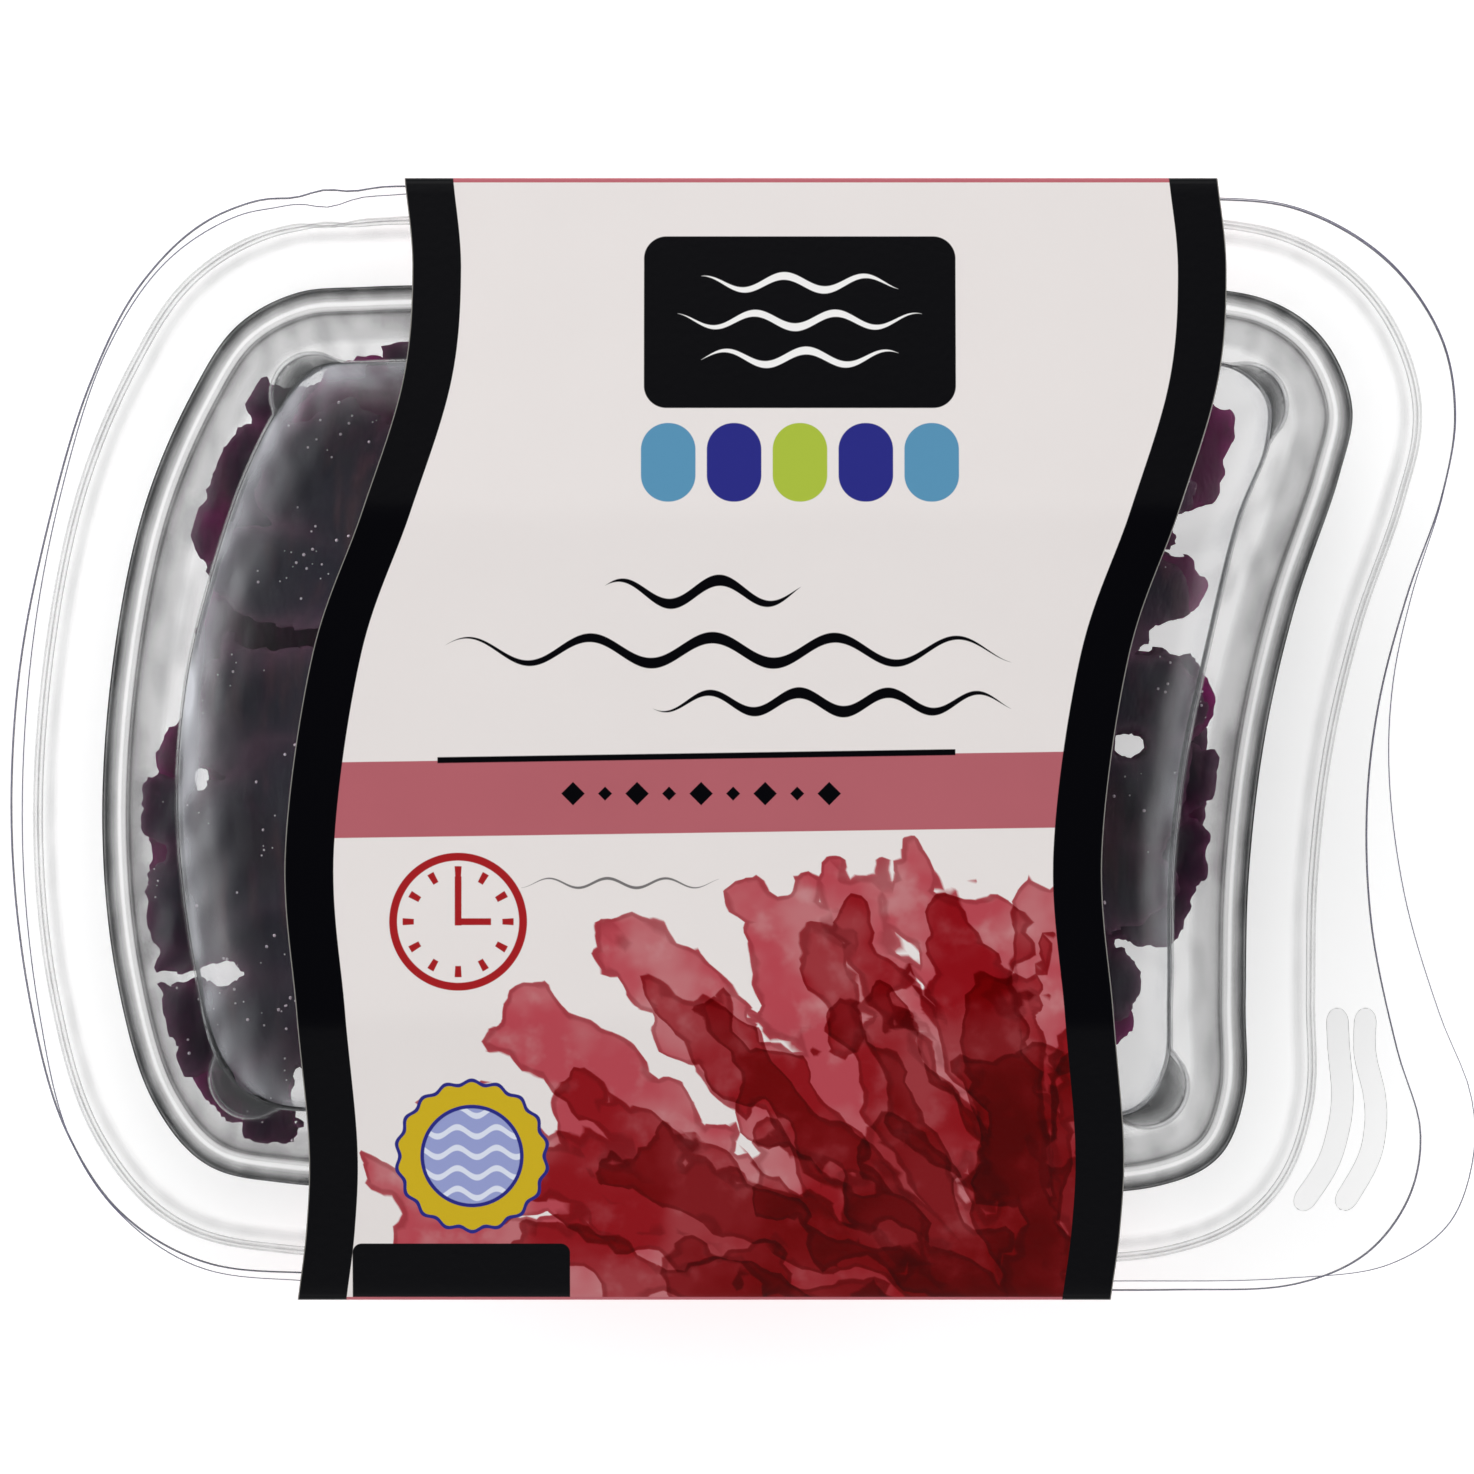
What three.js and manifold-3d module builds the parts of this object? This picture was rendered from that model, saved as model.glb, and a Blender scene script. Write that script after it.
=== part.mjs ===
// A clear tub of salted dulse seaweed with its snap-on lid, closed by a printed card sleeve.
// Millimetres, +Z up. The origin is on the surface that the pack lies on, under the middle of its box.
import * as THREE from "three";
import Module from "manifold-3d";

const wasm = await Module();
wasm.setup();

// Driving dimensions: heights.
const CARD = 0.4; // thickness of the sleeve's card
const SHEET = 0.45; // thickness of the formed clear plastic
const CLEAR = 0.3; // gap between pieces that touch
const TUB_FLOOR = CARD + CLEAR + SHEET; // top of the tub's floor
const TUB_FLANGE = 24.45; // top of the tub's flange
const LID_FLANGE = TUB_FLANGE + CLEAR + SHEET; // top of the lid's flange
const BEAD_RISE = 0.8; // height of the stiffening bead that runs round both flanges
const LEDGE = 21.8; // step inside the tub's mouth that the lid's plug stands over
const MOAT = 20.5; // floor of the lid's groove between its plug wall and its dome
const CORNER_POST_TOP = 24.0; // top of the round posts at the dome's corners
const CROWN = 33.5; // highest point of the lid's dome
const CROWN_X = 5; // where along X the dome is highest
const CROWN_DROP_X = 0.0012; // how fast the dome falls along X, per mm squared
const CROWN_DROP_Y = 0.0023; // and along Y

// Driving dimensions: outlines seen from above, as the points that a smooth closed curve passes through.
const MOUTH = [
  [-40, 48], [8, 48.1], [48, 48], [56.9, 46.2], [62, 42.2], [64.8, 35.2], [63.4, 28], [58.7, 14.2],
  [55.4, 0.1], [53.7, -14.5], [53.4, -28], [53.3, -38], [50.6, -44.4], [44, -47.5], [20, -47.9],
  [-20, -47.6], [-48.3, -47.2], [-57, -45.2], [-62.6, -38.6], [-66.4, -26], [-68, -10], [-66.9, 8],
  [-63.6, 24.5], [-58.6, 36.5], [-53.8, 43.8], [-47.6, 47.3],
];
const TUB_EDGE = [
  [-44, 58.8], [6, 58.3], [48, 57.9], [59.5, 56.7], [69, 51.2], [74.8, 43], [76.3, 34.6], [74.9, 26],
  [71.2, 15.4], [68.2, 4], [66.9, -7.3], [67.4, -20], [70.1, -33.2], [72.6, -42], [71.4, -49],
  [66.9, -55], [59.5, -58.3], [46, -59], [-4, -58.2], [-44, -57.3], [-57.7, -56], [-66.5, -50.8],
  [-72.4, -42], [-76, -29.6], [-78.2, -12], [-77.6, 6], [-74.6, 22], [-69.9, 38], [-64.2, 49], [-56.4, 56],
];
const LID_EDGE = [
  [-44, 58], [6, 58.1], [48, 58], [59.5, 56.8], [69, 51.3], [74.8, 43], [76.3, 34.6], [74.9, 26],
  [71.6, 15.4], [69.6, 6], [69.2, -4], [70.9, -17], [74.6, -29.5], [77.9, -38], [78.2, -44.5],
  [75.6, -51.8], [69.2, -56.2], [58, -57.7], [39, -58], [-4, -58], [-46, -58], [-58.4, -56.4],
  [-66.8, -50.6], [-72, -42.6], [-75.2, -29.5], [-77, -12], [-76.2, 8], [-73, 26], [-67.9, 41.8],
  [-61.5, 51.2], [-53.5, 56.2],
];
const DOME = [
  [-40, 40.5], [6, 40.5], [46, 40.4], [53, 40], [56.6, 36.6], [56.6, 31.9], [53.6, 24], [50.1, 9.5],
  [47.6, -2.4], [46.3, -14.5], [46.1, -28], [45.6, -35.6], [42.6, -39.9], [36, -40.8], [-4, -40.4],
  [-44, -40], [-51.5, -39], [-56, -34.8], [-58.9, -24], [-60.7, -8], [-59.8, 6], [-57.1, 17.5],
  [-53.2, 29], [-49.3, 36.3], [-45.6, 39.9],
];
const CORNER_POSTS = [[-46.1, 36.9], [53.9, 35.8], [43.3, -37.2], [-52.6, -36.2]];
const CORNER_POST_RADIUS = 4.6;
// How far the heap of fronds reaches, at the height where it is widest.
const HEAP = [
  [-36, 42.5], [0, 42.5], [36, 42], [50, 38], [53.5, 31], [48, 22], [46, 12], [49, 0], [51, -13],
  [46, -24], [42, -34], [34, -41], [0, -42.5], [-46, -42.5], [-57, -39.5], [-61.5, -27], [-63, -10],
  [-62, 4], [-59.5, 18], [-54, 34], [-47, 41],
];

// Driving dimensions: the sleeve. Its middle wanders along X as its two cut ends do, by [Y, X of the middle].
const SLEEVE_WIDTH = 86.8;
const SLEEVE_WAVE = [
  [60, 7.3], [50, 8.2], [38, 7.2], [24, 2.9], [9, -2.3], [-12, -5.2], [-29, -4], [-43, -2.8],
  [-52, -3.1], [-60, -4.1],
];
const SLEEVE_TOP = 34.4; // outer face of the flat front panel
const SLEEVE_SIDE_TOP = 26.5; // where the front slopes meet the side strips
const SLEEVE_SIDE_BOTTOM = 23.4;
const SLEEVE_HALF_HEIGHT = 59.9;
const SLEEVE_CREASE = [23.9, -29.7]; // the two creases across the front
const SLEEVE_BACK_HALF = 45; // the back panel ends at plus and minus this Y
const SLEEVE_FOLD = 0.6; // size of the bevel that stands for a rounded fold
const SLEEVE_STEP = 6.5; // longest step along a panel, so that the cut ends follow the wave

// Driving dimensions: the fronds.
const FROND_THICKNESS = 0.6;
const FROND_LAYERS = 10;
const HEAP_BOTTOM = TUB_FLOOR + CLEAR + FROND_THICKNESS / 2 + 0.3;
const HEAP_RIM = 18.7; // height of the top frond under the lid's groove
const HEAP_RISE = 9.5; // how much higher it is under the dome
const HEAP_SHOULDER = 18; // width over which it rises
const TUB_DRAFT = 0.15; // how fast the tub's walls close in downwards

const RIM_STEPS = 48; // facets round the tub and the lid

// Outlines and how far they reach

// The curve through an outline's points as a dense closed line.
function smooth(points, steps = 720) {
  const curve = new THREE.CatmullRomCurve3(
    points.map(([x, y]) => new THREE.Vector3(x, y, 0)),
    true,
    "centripetal",
  );
  return curve.getPoints(steps).slice(0, steps).map((p) => new THREE.Vector2(p.x, p.y));
}

// The line moved outwards by a distance, or inwards where that is negative. Lines here run clockwise.
function moved(line, distance) {
  return line.map((p, i) => {
    const before = line[(i + line.length - 1) % line.length];
    const after = line[(i + 1) % line.length];
    const along = after.clone().sub(before).normalize();
    return new THREE.Vector2(p.x - along.y * distance, p.y + along.x * distance);
  });
}

// A function that gives how far a line is from the origin in a direction.
function reachOf(line) {
  const polar = line.map((p) => [Math.atan2(p.y, p.x), p.length()]).sort((a, b) => a[0] - b[0]);
  const first = polar[0];
  const last = polar[polar.length - 1];
  polar.unshift([last[0] - 2 * Math.PI, last[1]]);
  polar.push([first[0] + 2 * Math.PI, first[1]]);
  return (angle) => {
    let low = 0;
    let high = polar.length - 1;
    while (high - low > 1) {
      const middle = (low + high) >> 1;
      if (polar[middle][0] <= angle) low = middle;
      else high = middle;
    }
    const share = (angle - polar[low][0]) / (polar[high][0] - polar[low][0] || 1);
    return polar[low][1] + share * (polar[high][1] - polar[low][1]);
  };
}

const mouthLine = smooth(MOUTH);
const domeReach = reachOf(smooth(DOME));
const mouthOffsets = new Map();

// How far the tub's mouth, moved outwards by a distance, is from the origin in a direction.
function mouthReach(angle, distance) {
  if (!mouthOffsets.has(distance)) mouthOffsets.set(distance, reachOf(moved(mouthLine, distance)));
  return mouthOffsets.get(distance)(angle);
}

// The dome's foot with its corner posts: the farther of the dome's own line and each post's circle.
function domeFootReach(angle, shrink) {
  let reach = domeReach(angle) - shrink;
  for (const [x, y] of CORNER_POSTS) {
    const along = x * Math.cos(angle) + y * Math.sin(angle);
    const aside = x * Math.sin(angle) - y * Math.cos(angle);
    const radius = CORNER_POST_RADIUS - shrink;
    if (along > 0 && Math.abs(aside) < radius) {
      reach = Math.max(reach, along + Math.sqrt(radius * radius - aside * aside));
    }
  }
  return reach;
}

// Directions round the rim, closer together where the mouth's line turns.
function rimAngles(count) {
  const turnWeight = 10;
  const total = [0];
  for (let i = 1; i <= mouthLine.length; i++) {
    const a = mouthLine[i - 1];
    const b = mouthLine[i % mouthLine.length];
    const c = mouthLine[(i + 1) % mouthLine.length];
    const turn = Math.abs(b.clone().sub(a).angleTo(c.clone().sub(b)));
    total.push(total[i - 1] + a.distanceTo(b) + turnWeight * turn);
  }
  const angles = [];
  for (let k = 0, i = 0; k < count; k++) {
    const wanted = (k / count) * total[mouthLine.length];
    while (total[i + 1] < wanted) i++;
    const p = mouthLine[i];
    angles.push(Math.atan2(p.y, p.x));
  }
  return angles.sort((a, b) => a - b);
}

// Formed sheets

// A line of [reach, height] moved sideways by a distance, to its right, with mitred corners.
function mitred(line, distance) {
  const normals = line.slice(1).map(([r, z], i) => {
    const run = r - line[i][0];
    const rise = z - line[i][1];
    const length = Math.hypot(run, rise) || 1;
    return [rise / length, -run / length];
  });
  return line.map(([r, z], i) => {
    const a = normals[Math.max(i - 1, 0)];
    const b = normals[Math.min(i, normals.length - 1)];
    const scale = distance / Math.max(1 + a[0] * b[0] + a[1] * b[1], 0.5);
    return [r + (a[0] + b[0]) * scale, z + (a[1] + b[1]) * scale];
  });
}

// A closed body from rings of points, each ring at the same directions, with a fan at both ends.
function loft(start, rings, end) {
  const count = rings[0].length;
  const position = [start, ...rings.flat(), end].flat();
  const index = [];
  const at = (ring, step) => 1 + ring * count + (step % count);
  const last = rings.length * count + 1;
  for (let step = 0; step < count; step++) {
    index.push(0, at(0, step), at(0, step + 1));
    for (let ring = 0; ring + 1 < rings.length; ring++) {
      index.push(at(ring, step), at(ring + 1, step), at(ring + 1, step + 1));
      index.push(at(ring, step), at(ring + 1, step + 1), at(ring, step + 1));
    }
    index.push(at(rings.length - 1, step), last, at(rings.length - 1, step + 1));
  }
  const geometry = new THREE.BufferGeometry();
  geometry.setAttribute("position", new THREE.Float32BufferAttribute(position, 3));
  geometry.setIndex(index);
  return geometry;
}

// A sheet of even thickness whose upper face passes through the stations, from the middle to the edge.
// Each station gives a reach and a height for a direction. The edge is cut square.
function formedSheet(middle, stations) {
  const angles = rimAngles(RIM_STEPS);
  const upper = [];
  const lower = [];
  for (const angle of angles) {
    const line = stations.map((station) => station(angle));
    const under = mitred(line, SHEET);
    const edge = line.length - 1;
    under[edge] = [line[edge][0], line[edge][1] - SHEET];
    const place = ([r, z]) => [r * Math.cos(angle), r * Math.sin(angle), z];
    upper.push(line.map(place));
    lower.push(under.map(place));
  }
  const ring = (columns, i) => columns.map((column) => column[i]);
  const rings = stations.map((_, i) => ring(upper, i));
  const under = stations.map((_, i) => ring(lower, i)).reverse();
  return loft([0, 0, middle], [...rings, ...under], [0, 0, middle - SHEET]);
}

const fromMouth = (distance, z) => (angle) => [mouthReach(angle, distance), z];
const fromEdge = (reach, z) => (angle) => [reach(angle), z];

// The stiffening bead in a flange, by how much wider than the tub's own bead it is.
const bead = (flange, wider) => [
  fromMouth(5.3 - wider, flange),
  fromMouth(5.8 - wider, flange + BEAD_RISE),
  fromMouth(7.0 + wider, flange + BEAD_RISE),
  fromMouth(7.5 + wider, flange),
];

function tub() {
  return formedSheet(TUB_FLOOR, [
    fromMouth(-6.8, TUB_FLOOR),
    fromMouth(-5.2, TUB_FLOOR + 0.7),
    fromMouth(-4.7, TUB_FLOOR + 2.2),
    fromMouth(-1.9, LEDGE - 0.4),
    fromMouth(-1.6, LEDGE),
    fromMouth(-0.5, LEDGE + 0.2),
    fromMouth(0, TUB_FLANGE - 0.35),
    fromMouth(0.4, TUB_FLANGE),
    ...bead(TUB_FLANGE, 0),
    fromEdge(reachOf(smooth(TUB_EDGE)), TUB_FLANGE),
  ]);
}

// Height of the dome's upper face away from its shoulder.
function crown(x, y) {
  return CROWN - CROWN_DROP_X * (x - CROWN_X) ** 2 - CROWN_DROP_Y * y * y;
}

// A station on the dome: a share of its line or a step in from it, and how far under the crown.
const onDome = (share, inset, under) => (angle) => {
  const r = domeReach(angle) * share - inset;
  return [r, crown(r * Math.cos(angle), r * Math.sin(angle)) - under];
};

function lidShell() {
  return formedSheet(crown(0, 0), [
    onDome(0.45, 0, 0),
    onDome(1, 7, 0.1),
    onDome(1, 3.2, 0.5),
    onDome(1, 1.4, 1.3),
    onDome(1, 0.7, 2.6),
    (angle) => [domeReach(angle) - 0.45, CORNER_POST_TOP + 0.25],
    (angle) => [domeFootReach(angle, 0.25), CORNER_POST_TOP],
    (angle) => [domeFootReach(angle, -0.1), MOAT],
    fromMouth(-3.5, MOAT),
    fromMouth(-3.0, MOAT + 0.3),
    fromMouth(-2.35, LEDGE + 0.6),
    fromMouth(-1.2, LEDGE + 0.85),
    fromMouth(-0.6, LID_FLANGE - 0.45),
    fromMouth(-0.1, LID_FLANGE),
    ...bead(LID_FLANGE, 0.4),
    fromEdge(reachOf(smooth(LID_EDGE)), LID_FLANGE),
  ]);
}

// Solids for joining and cutting

// A closed geometry as a manifold solid.
function solidOf(geometry) {
  const plain = geometry.index ? geometry.toNonIndexed() : geometry;
  const places = plain.getAttribute("position");
  const seen = new Map();
  const vertices = [];
  const triangles = [];
  for (let i = 0; i < places.count; i++) {
    const p = [places.getX(i), places.getY(i), places.getZ(i)];
    const key = p.map((v) => Math.round(v * 1e4)).join();
    if (!seen.has(key)) {
      seen.set(key, seen.size);
      vertices.push(...p);
    }
    triangles.push(seen.get(key));
  }
  const kept = [];
  for (let i = 0; i < triangles.length; i += 3) {
    const [a, b, c] = triangles.slice(i, i + 3);
    if (a !== b && b !== c && c !== a) kept.push(a, b, c);
  }
  return new wasm.Manifold(
    new wasm.Mesh({
      numProp: 3,
      vertProperties: new Float32Array(vertices),
      triVerts: new Uint32Array(kept),
    }),
  );
}

// A manifold solid as a geometry.
function geometryOf(solid) {
  const mesh = solid.getMesh();
  const geometry = new THREE.BufferGeometry();
  geometry.setAttribute("position", new THREE.BufferAttribute(mesh.vertProperties, 3));
  geometry.setIndex(new THREE.BufferAttribute(mesh.triVerts, 1));
  return geometry;
}

// A flat outline raised from one height to another.
function prism(points, low, high) {
  const shape = new THREE.Shape(points.map(([x, y]) => new THREE.Vector2(x, y)));
  const geometry = new THREE.ExtrudeGeometry(shape, { depth: high - low, bevelEnabled: false });
  geometry.translate(0, 0, low);
  return solidOf(geometry);
}

// The lid with its grips

const GRIP_SPINES = [
  [[67.0, -29.6], [67.2, -34], [67.6, -39], [66.2, -44.5], [62.5, -50.6]],
  [[70.3, -29.6], [70.0, -34], [70.6, -39], [69.9, -44.5], [66.2, -50.9]],
];
const GRIP_WIDTH = 3.1;
const GRIP_RISE = 0.5;

// A strap of even or changing width along a curve, with round ends, as an outline.
function strap(spine, widthAt, steps, capSteps) {
  const curve = new THREE.CatmullRomCurve3(spine.map(([x, y]) => new THREE.Vector3(x, y, 0)));
  const left = [];
  const right = [];
  for (let i = 0; i <= steps; i++) {
    const t = i / steps;
    const p = curve.getPoint(t);
    const along = curve.getTangent(t);
    const half = widthAt(t) / 2;
    left.push([p.x - along.y * half, p.y + along.x * half]);
    right.unshift([p.x + along.y * half, p.y - along.x * half]);
  }
  const cap = (t, turn) => {
    const p = curve.getPoint(t);
    const along = curve.getTangent(t);
    const facing = Math.atan2(along.y, along.x);
    const half = widthAt(t) / 2;
    return Array.from({ length: capSteps - 1 }, (_, i) => {
      const angle = facing + turn - (Math.PI * (i + 1)) / capSteps;
      return [p.x + half * Math.cos(angle), p.y + half * Math.sin(angle)];
    });
  };
  return [...left, ...cap(1, Math.PI / 2), ...right, ...cap(0, -Math.PI / 2)];
}

function lid() {
  let solid = solidOf(lidShell());
  for (const spine of GRIP_SPINES) {
    const outline = strap(spine, () => GRIP_WIDTH, 7, 4);
    solid = solid.add(prism(outline, LID_FLANGE - SHEET / 2, LID_FLANGE + GRIP_RISE));
  }
  return geometryOf(solid);
}

// The sleeve

// X of the sleeve's middle at a Y, on a smooth line through SLEEVE_WAVE.
const wave = new THREE.CatmullRomCurve3(
  [...SLEEVE_WAVE].reverse().map(([y, x]) => new THREE.Vector3(y, x, 0)),
);
const waveLine = wave.getPoints(400);

function waveAt(y) {
  const next = waveLine.findIndex((p) => p.x >= y);
  if (next <= 0) return waveLine[next === 0 ? 0 : waveLine.length - 1].y;
  const a = waveLine[next - 1];
  const b = waveLine[next];
  return a.y + ((y - a.x) / (b.x - a.x)) * (b.y - a.y);
}

// The sleeve's outer face in cross-section, as [Y, Z], anticlockwise seen from +X.
function sleevePath() {
  const side = SLEEVE_HALF_HEIGHT;
  const fold = SLEEVE_FOLD;
  const corners = [
    [SLEEVE_BACK_HALF - fold, 0],
    [SLEEVE_BACK_HALF + fold, fold],
    [side, SLEEVE_SIDE_BOTTOM],
    [side, SLEEVE_SIDE_TOP - fold],
    [side - fold, SLEEVE_SIDE_TOP],
    [SLEEVE_CREASE[0], SLEEVE_TOP],
    [SLEEVE_CREASE[1], SLEEVE_TOP],
    [fold - side, SLEEVE_SIDE_TOP],
    [-side, SLEEVE_SIDE_TOP - fold],
    [-side, SLEEVE_SIDE_BOTTOM],
    [-SLEEVE_BACK_HALF - fold, fold],
    [fold - SLEEVE_BACK_HALF, 0],
  ];
  const path = [];
  corners.forEach(([y, z], i) => {
    const [nextY, nextZ] = corners[(i + 1) % corners.length];
    const steps = Math.max(1, Math.ceil(Math.abs(nextY - y) / SLEEVE_STEP));
    for (let k = 0; k < steps; k++) {
      path.push([y + ((nextY - y) * k) / steps, z + ((nextZ - z) * k) / steps]);
    }
  });
  return path;
}

// The same line moved inwards by the card's thickness.
function inside(path) {
  return path.map(([y, z], i) => {
    const [beforeY, beforeZ] = path[(i + path.length - 1) % path.length];
    const [afterY, afterZ] = path[(i + 1) % path.length];
    const normal = ([fromY, fromZ], [toY, toZ]) => {
      const length = Math.hypot(toY - fromY, toZ - fromZ);
      return [(fromZ - toZ) / length, (toY - fromY) / length];
    };
    const a = normal([beforeY, beforeZ], [y, z]);
    const b = normal([y, z], [afterY, afterZ]);
    const scale = CARD / (1 + a[0] * b[0] + a[1] * b[1]);
    return [y + (a[0] + b[0]) * scale, z + (a[1] + b[1]) * scale];
  });
}

function sleeve() {
  const outer = sleevePath();
  const inner = inside(outer);
  const position = [];
  outer.forEach(([y, z], i) => {
    const left = waveAt(y) - SLEEVE_WIDTH / 2;
    const right = left + SLEEVE_WIDTH;
    const [innerY, innerZ] = inner[i];
    position.push(left, y, z, right, y, z, right, innerY, innerZ, left, innerY, innerZ);
  });
  const index = [];
  outer.forEach((_, i) => {
    const here = 4 * i;
    const next = 4 * ((i + 1) % outer.length);
    for (let side = 0; side < 4; side++) {
      const a = here + side;
      const b = here + ((side + 1) % 4);
      const c = next + ((side + 1) % 4);
      const d = next + side;
      index.push(a, c, b, a, d, c);
    }
  });
  const geometry = new THREE.BufferGeometry();
  geometry.setAttribute("position", new THREE.Float32BufferAttribute(position, 3));
  geometry.setIndex(index);
  return geometry;
}

// The fronds

// A repeatable run of numbers from 0 to 1.
function draws(seed) {
  let state = seed;
  return () => {
    state = (state * 1664525 + 1013904223) % 4294967296;
    return state / 4294967296;
  };
}

const heapLine = smooth(HEAP, 240);
const ease = (t) => {
  const s = Math.min(Math.max(t, 0), 1);
  return s * s * (3 - 2 * s);
};

// Height of a layer's middle at a place: layer share 0 lies on the floor and 1 is the top of the heap.
function layerHeight(share, x, y) {
  const angle = Math.atan2(y, x);
  const inFromDome = domeReach(angle) - Math.hypot(x, y);
  const top = HEAP_RIM + HEAP_RISE * ease(inFromDome / HEAP_SHOULDER);
  const ripple = 0.8 * Math.sin(x / 9 + 0.6) * Math.cos(y / 11) * ease((inFromDome + 4) / 12);
  return HEAP_BOTTOM + share * (top - HEAP_BOTTOM) + ripple * Math.min(1, 3 * share);
}

// The whole layer as a thin wavy slab on a grid that every layer shares, so that no two layers cross.
function layerSlab(share) {
  const cell = 11;
  const columns = 13;
  const rows = 9;
  const low = [-67, -49.5];
  const top = [];
  const bottom = [];
  for (let j = 0; j <= rows; j++) {
    for (let i = 0; i <= columns; i++) {
      const x = low[0] + i * cell;
      const y = low[1] + j * cell;
      const z = layerHeight(share, x, y);
      top.push([x, y, z + FROND_THICKNESS / 2]);
      bottom.push([x, y, z - FROND_THICKNESS / 2]);
    }
  }
  const at = (i, j) => j * (columns + 1) + i;
  const under = top.length;
  const index = [];
  const quad = (a, b, c, d) => index.push(a, b, c, a, c, d);
  for (let j = 0; j < rows; j++) {
    for (let i = 0; i < columns; i++) {
      const [a, b, c, d] = [at(i, j), at(i + 1, j), at(i + 1, j + 1), at(i, j + 1)];
      index.push(a, b, c, a, c, d);
      index.push(under + a, under + c, under + b, under + a, under + d, under + c);
    }
  }
  for (let i = 0; i < columns; i++) {
    quad(under + at(i, 0), under + at(i + 1, 0), at(i + 1, 0), at(i, 0));
    quad(under + at(i + 1, rows), under + at(i, rows), at(i, rows), at(i + 1, rows));
  }
  for (let j = 0; j < rows; j++) {
    quad(under + at(0, j + 1), under + at(0, j), at(0, j), at(0, j + 1));
    quad(under + at(columns, j), under + at(columns, j + 1), at(columns, j + 1), at(columns, j));
  }
  const geometry = new THREE.BufferGeometry();
  geometry.setAttribute("position", new THREE.Float32BufferAttribute([...top, ...bottom].flat(), 3));
  geometry.setIndex(index);
  return solidOf(geometry);
}

// The flat outline of a forked blade: straps that fan out from a foot, each with a side lobe near its tip.
function bladeOutline({ foot, aim, spread, lobes, seed }, reach) {
  const draw = draws(seed);
  const [footX, footY] = foot;
  const straps = [];
  for (let k = 0; k < lobes; k++) {
    const turn = lobes > 1 ? k / (lobes - 1) - 0.5 : 0;
    const angle = ((aim + spread * turn + (draw() - 0.5) * 9) * Math.PI) / 180;
    const rim = reach((((angle + Math.PI) % (2 * Math.PI)) + 2 * Math.PI) % (2 * Math.PI) - Math.PI);
    const far = rim * (0.88 + 0.12 * draw());
    const width = 15 + 7 * draw();
    const tip = [far * Math.cos(angle), far * Math.sin(angle)];
    const back = width * 0.42;
    const long = Math.hypot(tip[0] - footX, tip[1] - footY);
    const end = [tip[0] - (back * (tip[0] - footX)) / long, tip[1] - (back * (tip[1] - footY)) / long];
    const bow = (draw() - 0.5) * 0.3;
    const middle = [
      (footX + end[0]) / 2 - bow * (end[1] - footY),
      (footY + end[1]) / 2 + bow * (end[0] - footX),
    ];
    straps.push(strap([foot, middle, end], (t) => width * (0.45 + 0.4 * Math.sqrt(t)), 3, 4));
    const side = draw() < 0.5 ? -1 : 1;
    const lobeEnd = [
      middle[0] + side * 0.36 * (end[1] - middle[1]) + 0.7 * (end[0] - middle[0]),
      middle[1] - side * 0.36 * (end[0] - middle[0]) + 0.7 * (end[1] - middle[1]),
    ];
    straps.push(strap([middle, lobeEnd], () => width * 0.5, 1, 3));
  }
  return straps;
}

// One frond: its straps joined, kept inside the heap's outline and laid in its layer.
function frond(layer, blade) {
  const share = layer / (FROND_LAYERS - 1);
  const lowest = HEAP_BOTTOM + share * (HEAP_RIM - HEAP_BOTTOM);
  const inset = TUB_DRAFT * (HEAP_RIM - lowest) + (layer === 0 ? 1.2 : 0.4);
  const outline = moved(heapLine, -inset);
  const reach = reachOf(outline);
  const straps = bladeOutline(blade, reach).map((points) => prism(points, 0, CROWN));
  const whole = straps.reduce((a, b) => a.add(b));
  const kept = prism(outline.filter((_, i) => i % 8 === 0).map((p) => [p.x, p.y]).reverse(), 0, CROWN);
  const cut = whole.intersect(kept).intersect(layerSlab(share));
  const pieces = cut.decompose().sort((a, b) => b.volume() - a.volume());
  return geometryOf(pieces[0]);
}

// From the floor up: where each frond is rooted, where it aims, and how its lobes fan out, in degrees.
const FRONDS = [
  { foot: [6, 4], aim: 180, spread: 150, lobes: 5, seed: 11 },
  { foot: [-14, -4], aim: 10, spread: 160, lobes: 5, seed: 23 },
  { foot: [4, -10], aim: 150, spread: 140, lobes: 5, seed: 37 },
  { foot: [-16, 6], aim: -20, spread: 150, lobes: 5, seed: 41 },
  { foot: [8, 6], aim: 205, spread: 150, lobes: 5, seed: 59 },
  { foot: [-12, 2], aim: 25, spread: 140, lobes: 5, seed: 61 },
  { foot: [6, -8], aim: 165, spread: 150, lobes: 5, seed: 73 },
  { foot: [-14, 8], aim: -15, spread: 130, lobes: 5, seed: 83 },
  { foot: [6, 6], aim: 215, spread: 120, lobes: 5, seed: 97 },
  { foot: [-14, -2], aim: 12, spread: 110, lobes: 4, seed: 109 },
];

// The pack

const clearPlastic = new THREE.MeshStandardMaterial({ color: 0xe9edee, roughness: 0.08, metalness: 0 });
clearPlastic.transparent = true;
clearPlastic.opacity = 0.3;
const printedCard = new THREE.MeshStandardMaterial({ color: 0xe3dddb, roughness: 0.5, metalness: 0 });
const wetFrond = new THREE.MeshStandardMaterial({ color: 0x3f2737, roughness: 0.35, metalness: 0 });

const pack = new THREE.Group();

function addPiece(name, geometry, material) {
  const mesh = new THREE.Mesh(geometry, material);
  mesh.name = name;
  pack.add(mesh);
}

addPiece("tub", tub(), clearPlastic);
addPiece("lid", lid(), clearPlastic);
addPiece("sleeve", sleeve(), printedCard);
FRONDS.forEach((blade, layer) => {
  addPiece(`frond_${String(layer + 1).padStart(2, "0")}`, frond(layer, blade), wetFrond);
});

export default pack;
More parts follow.
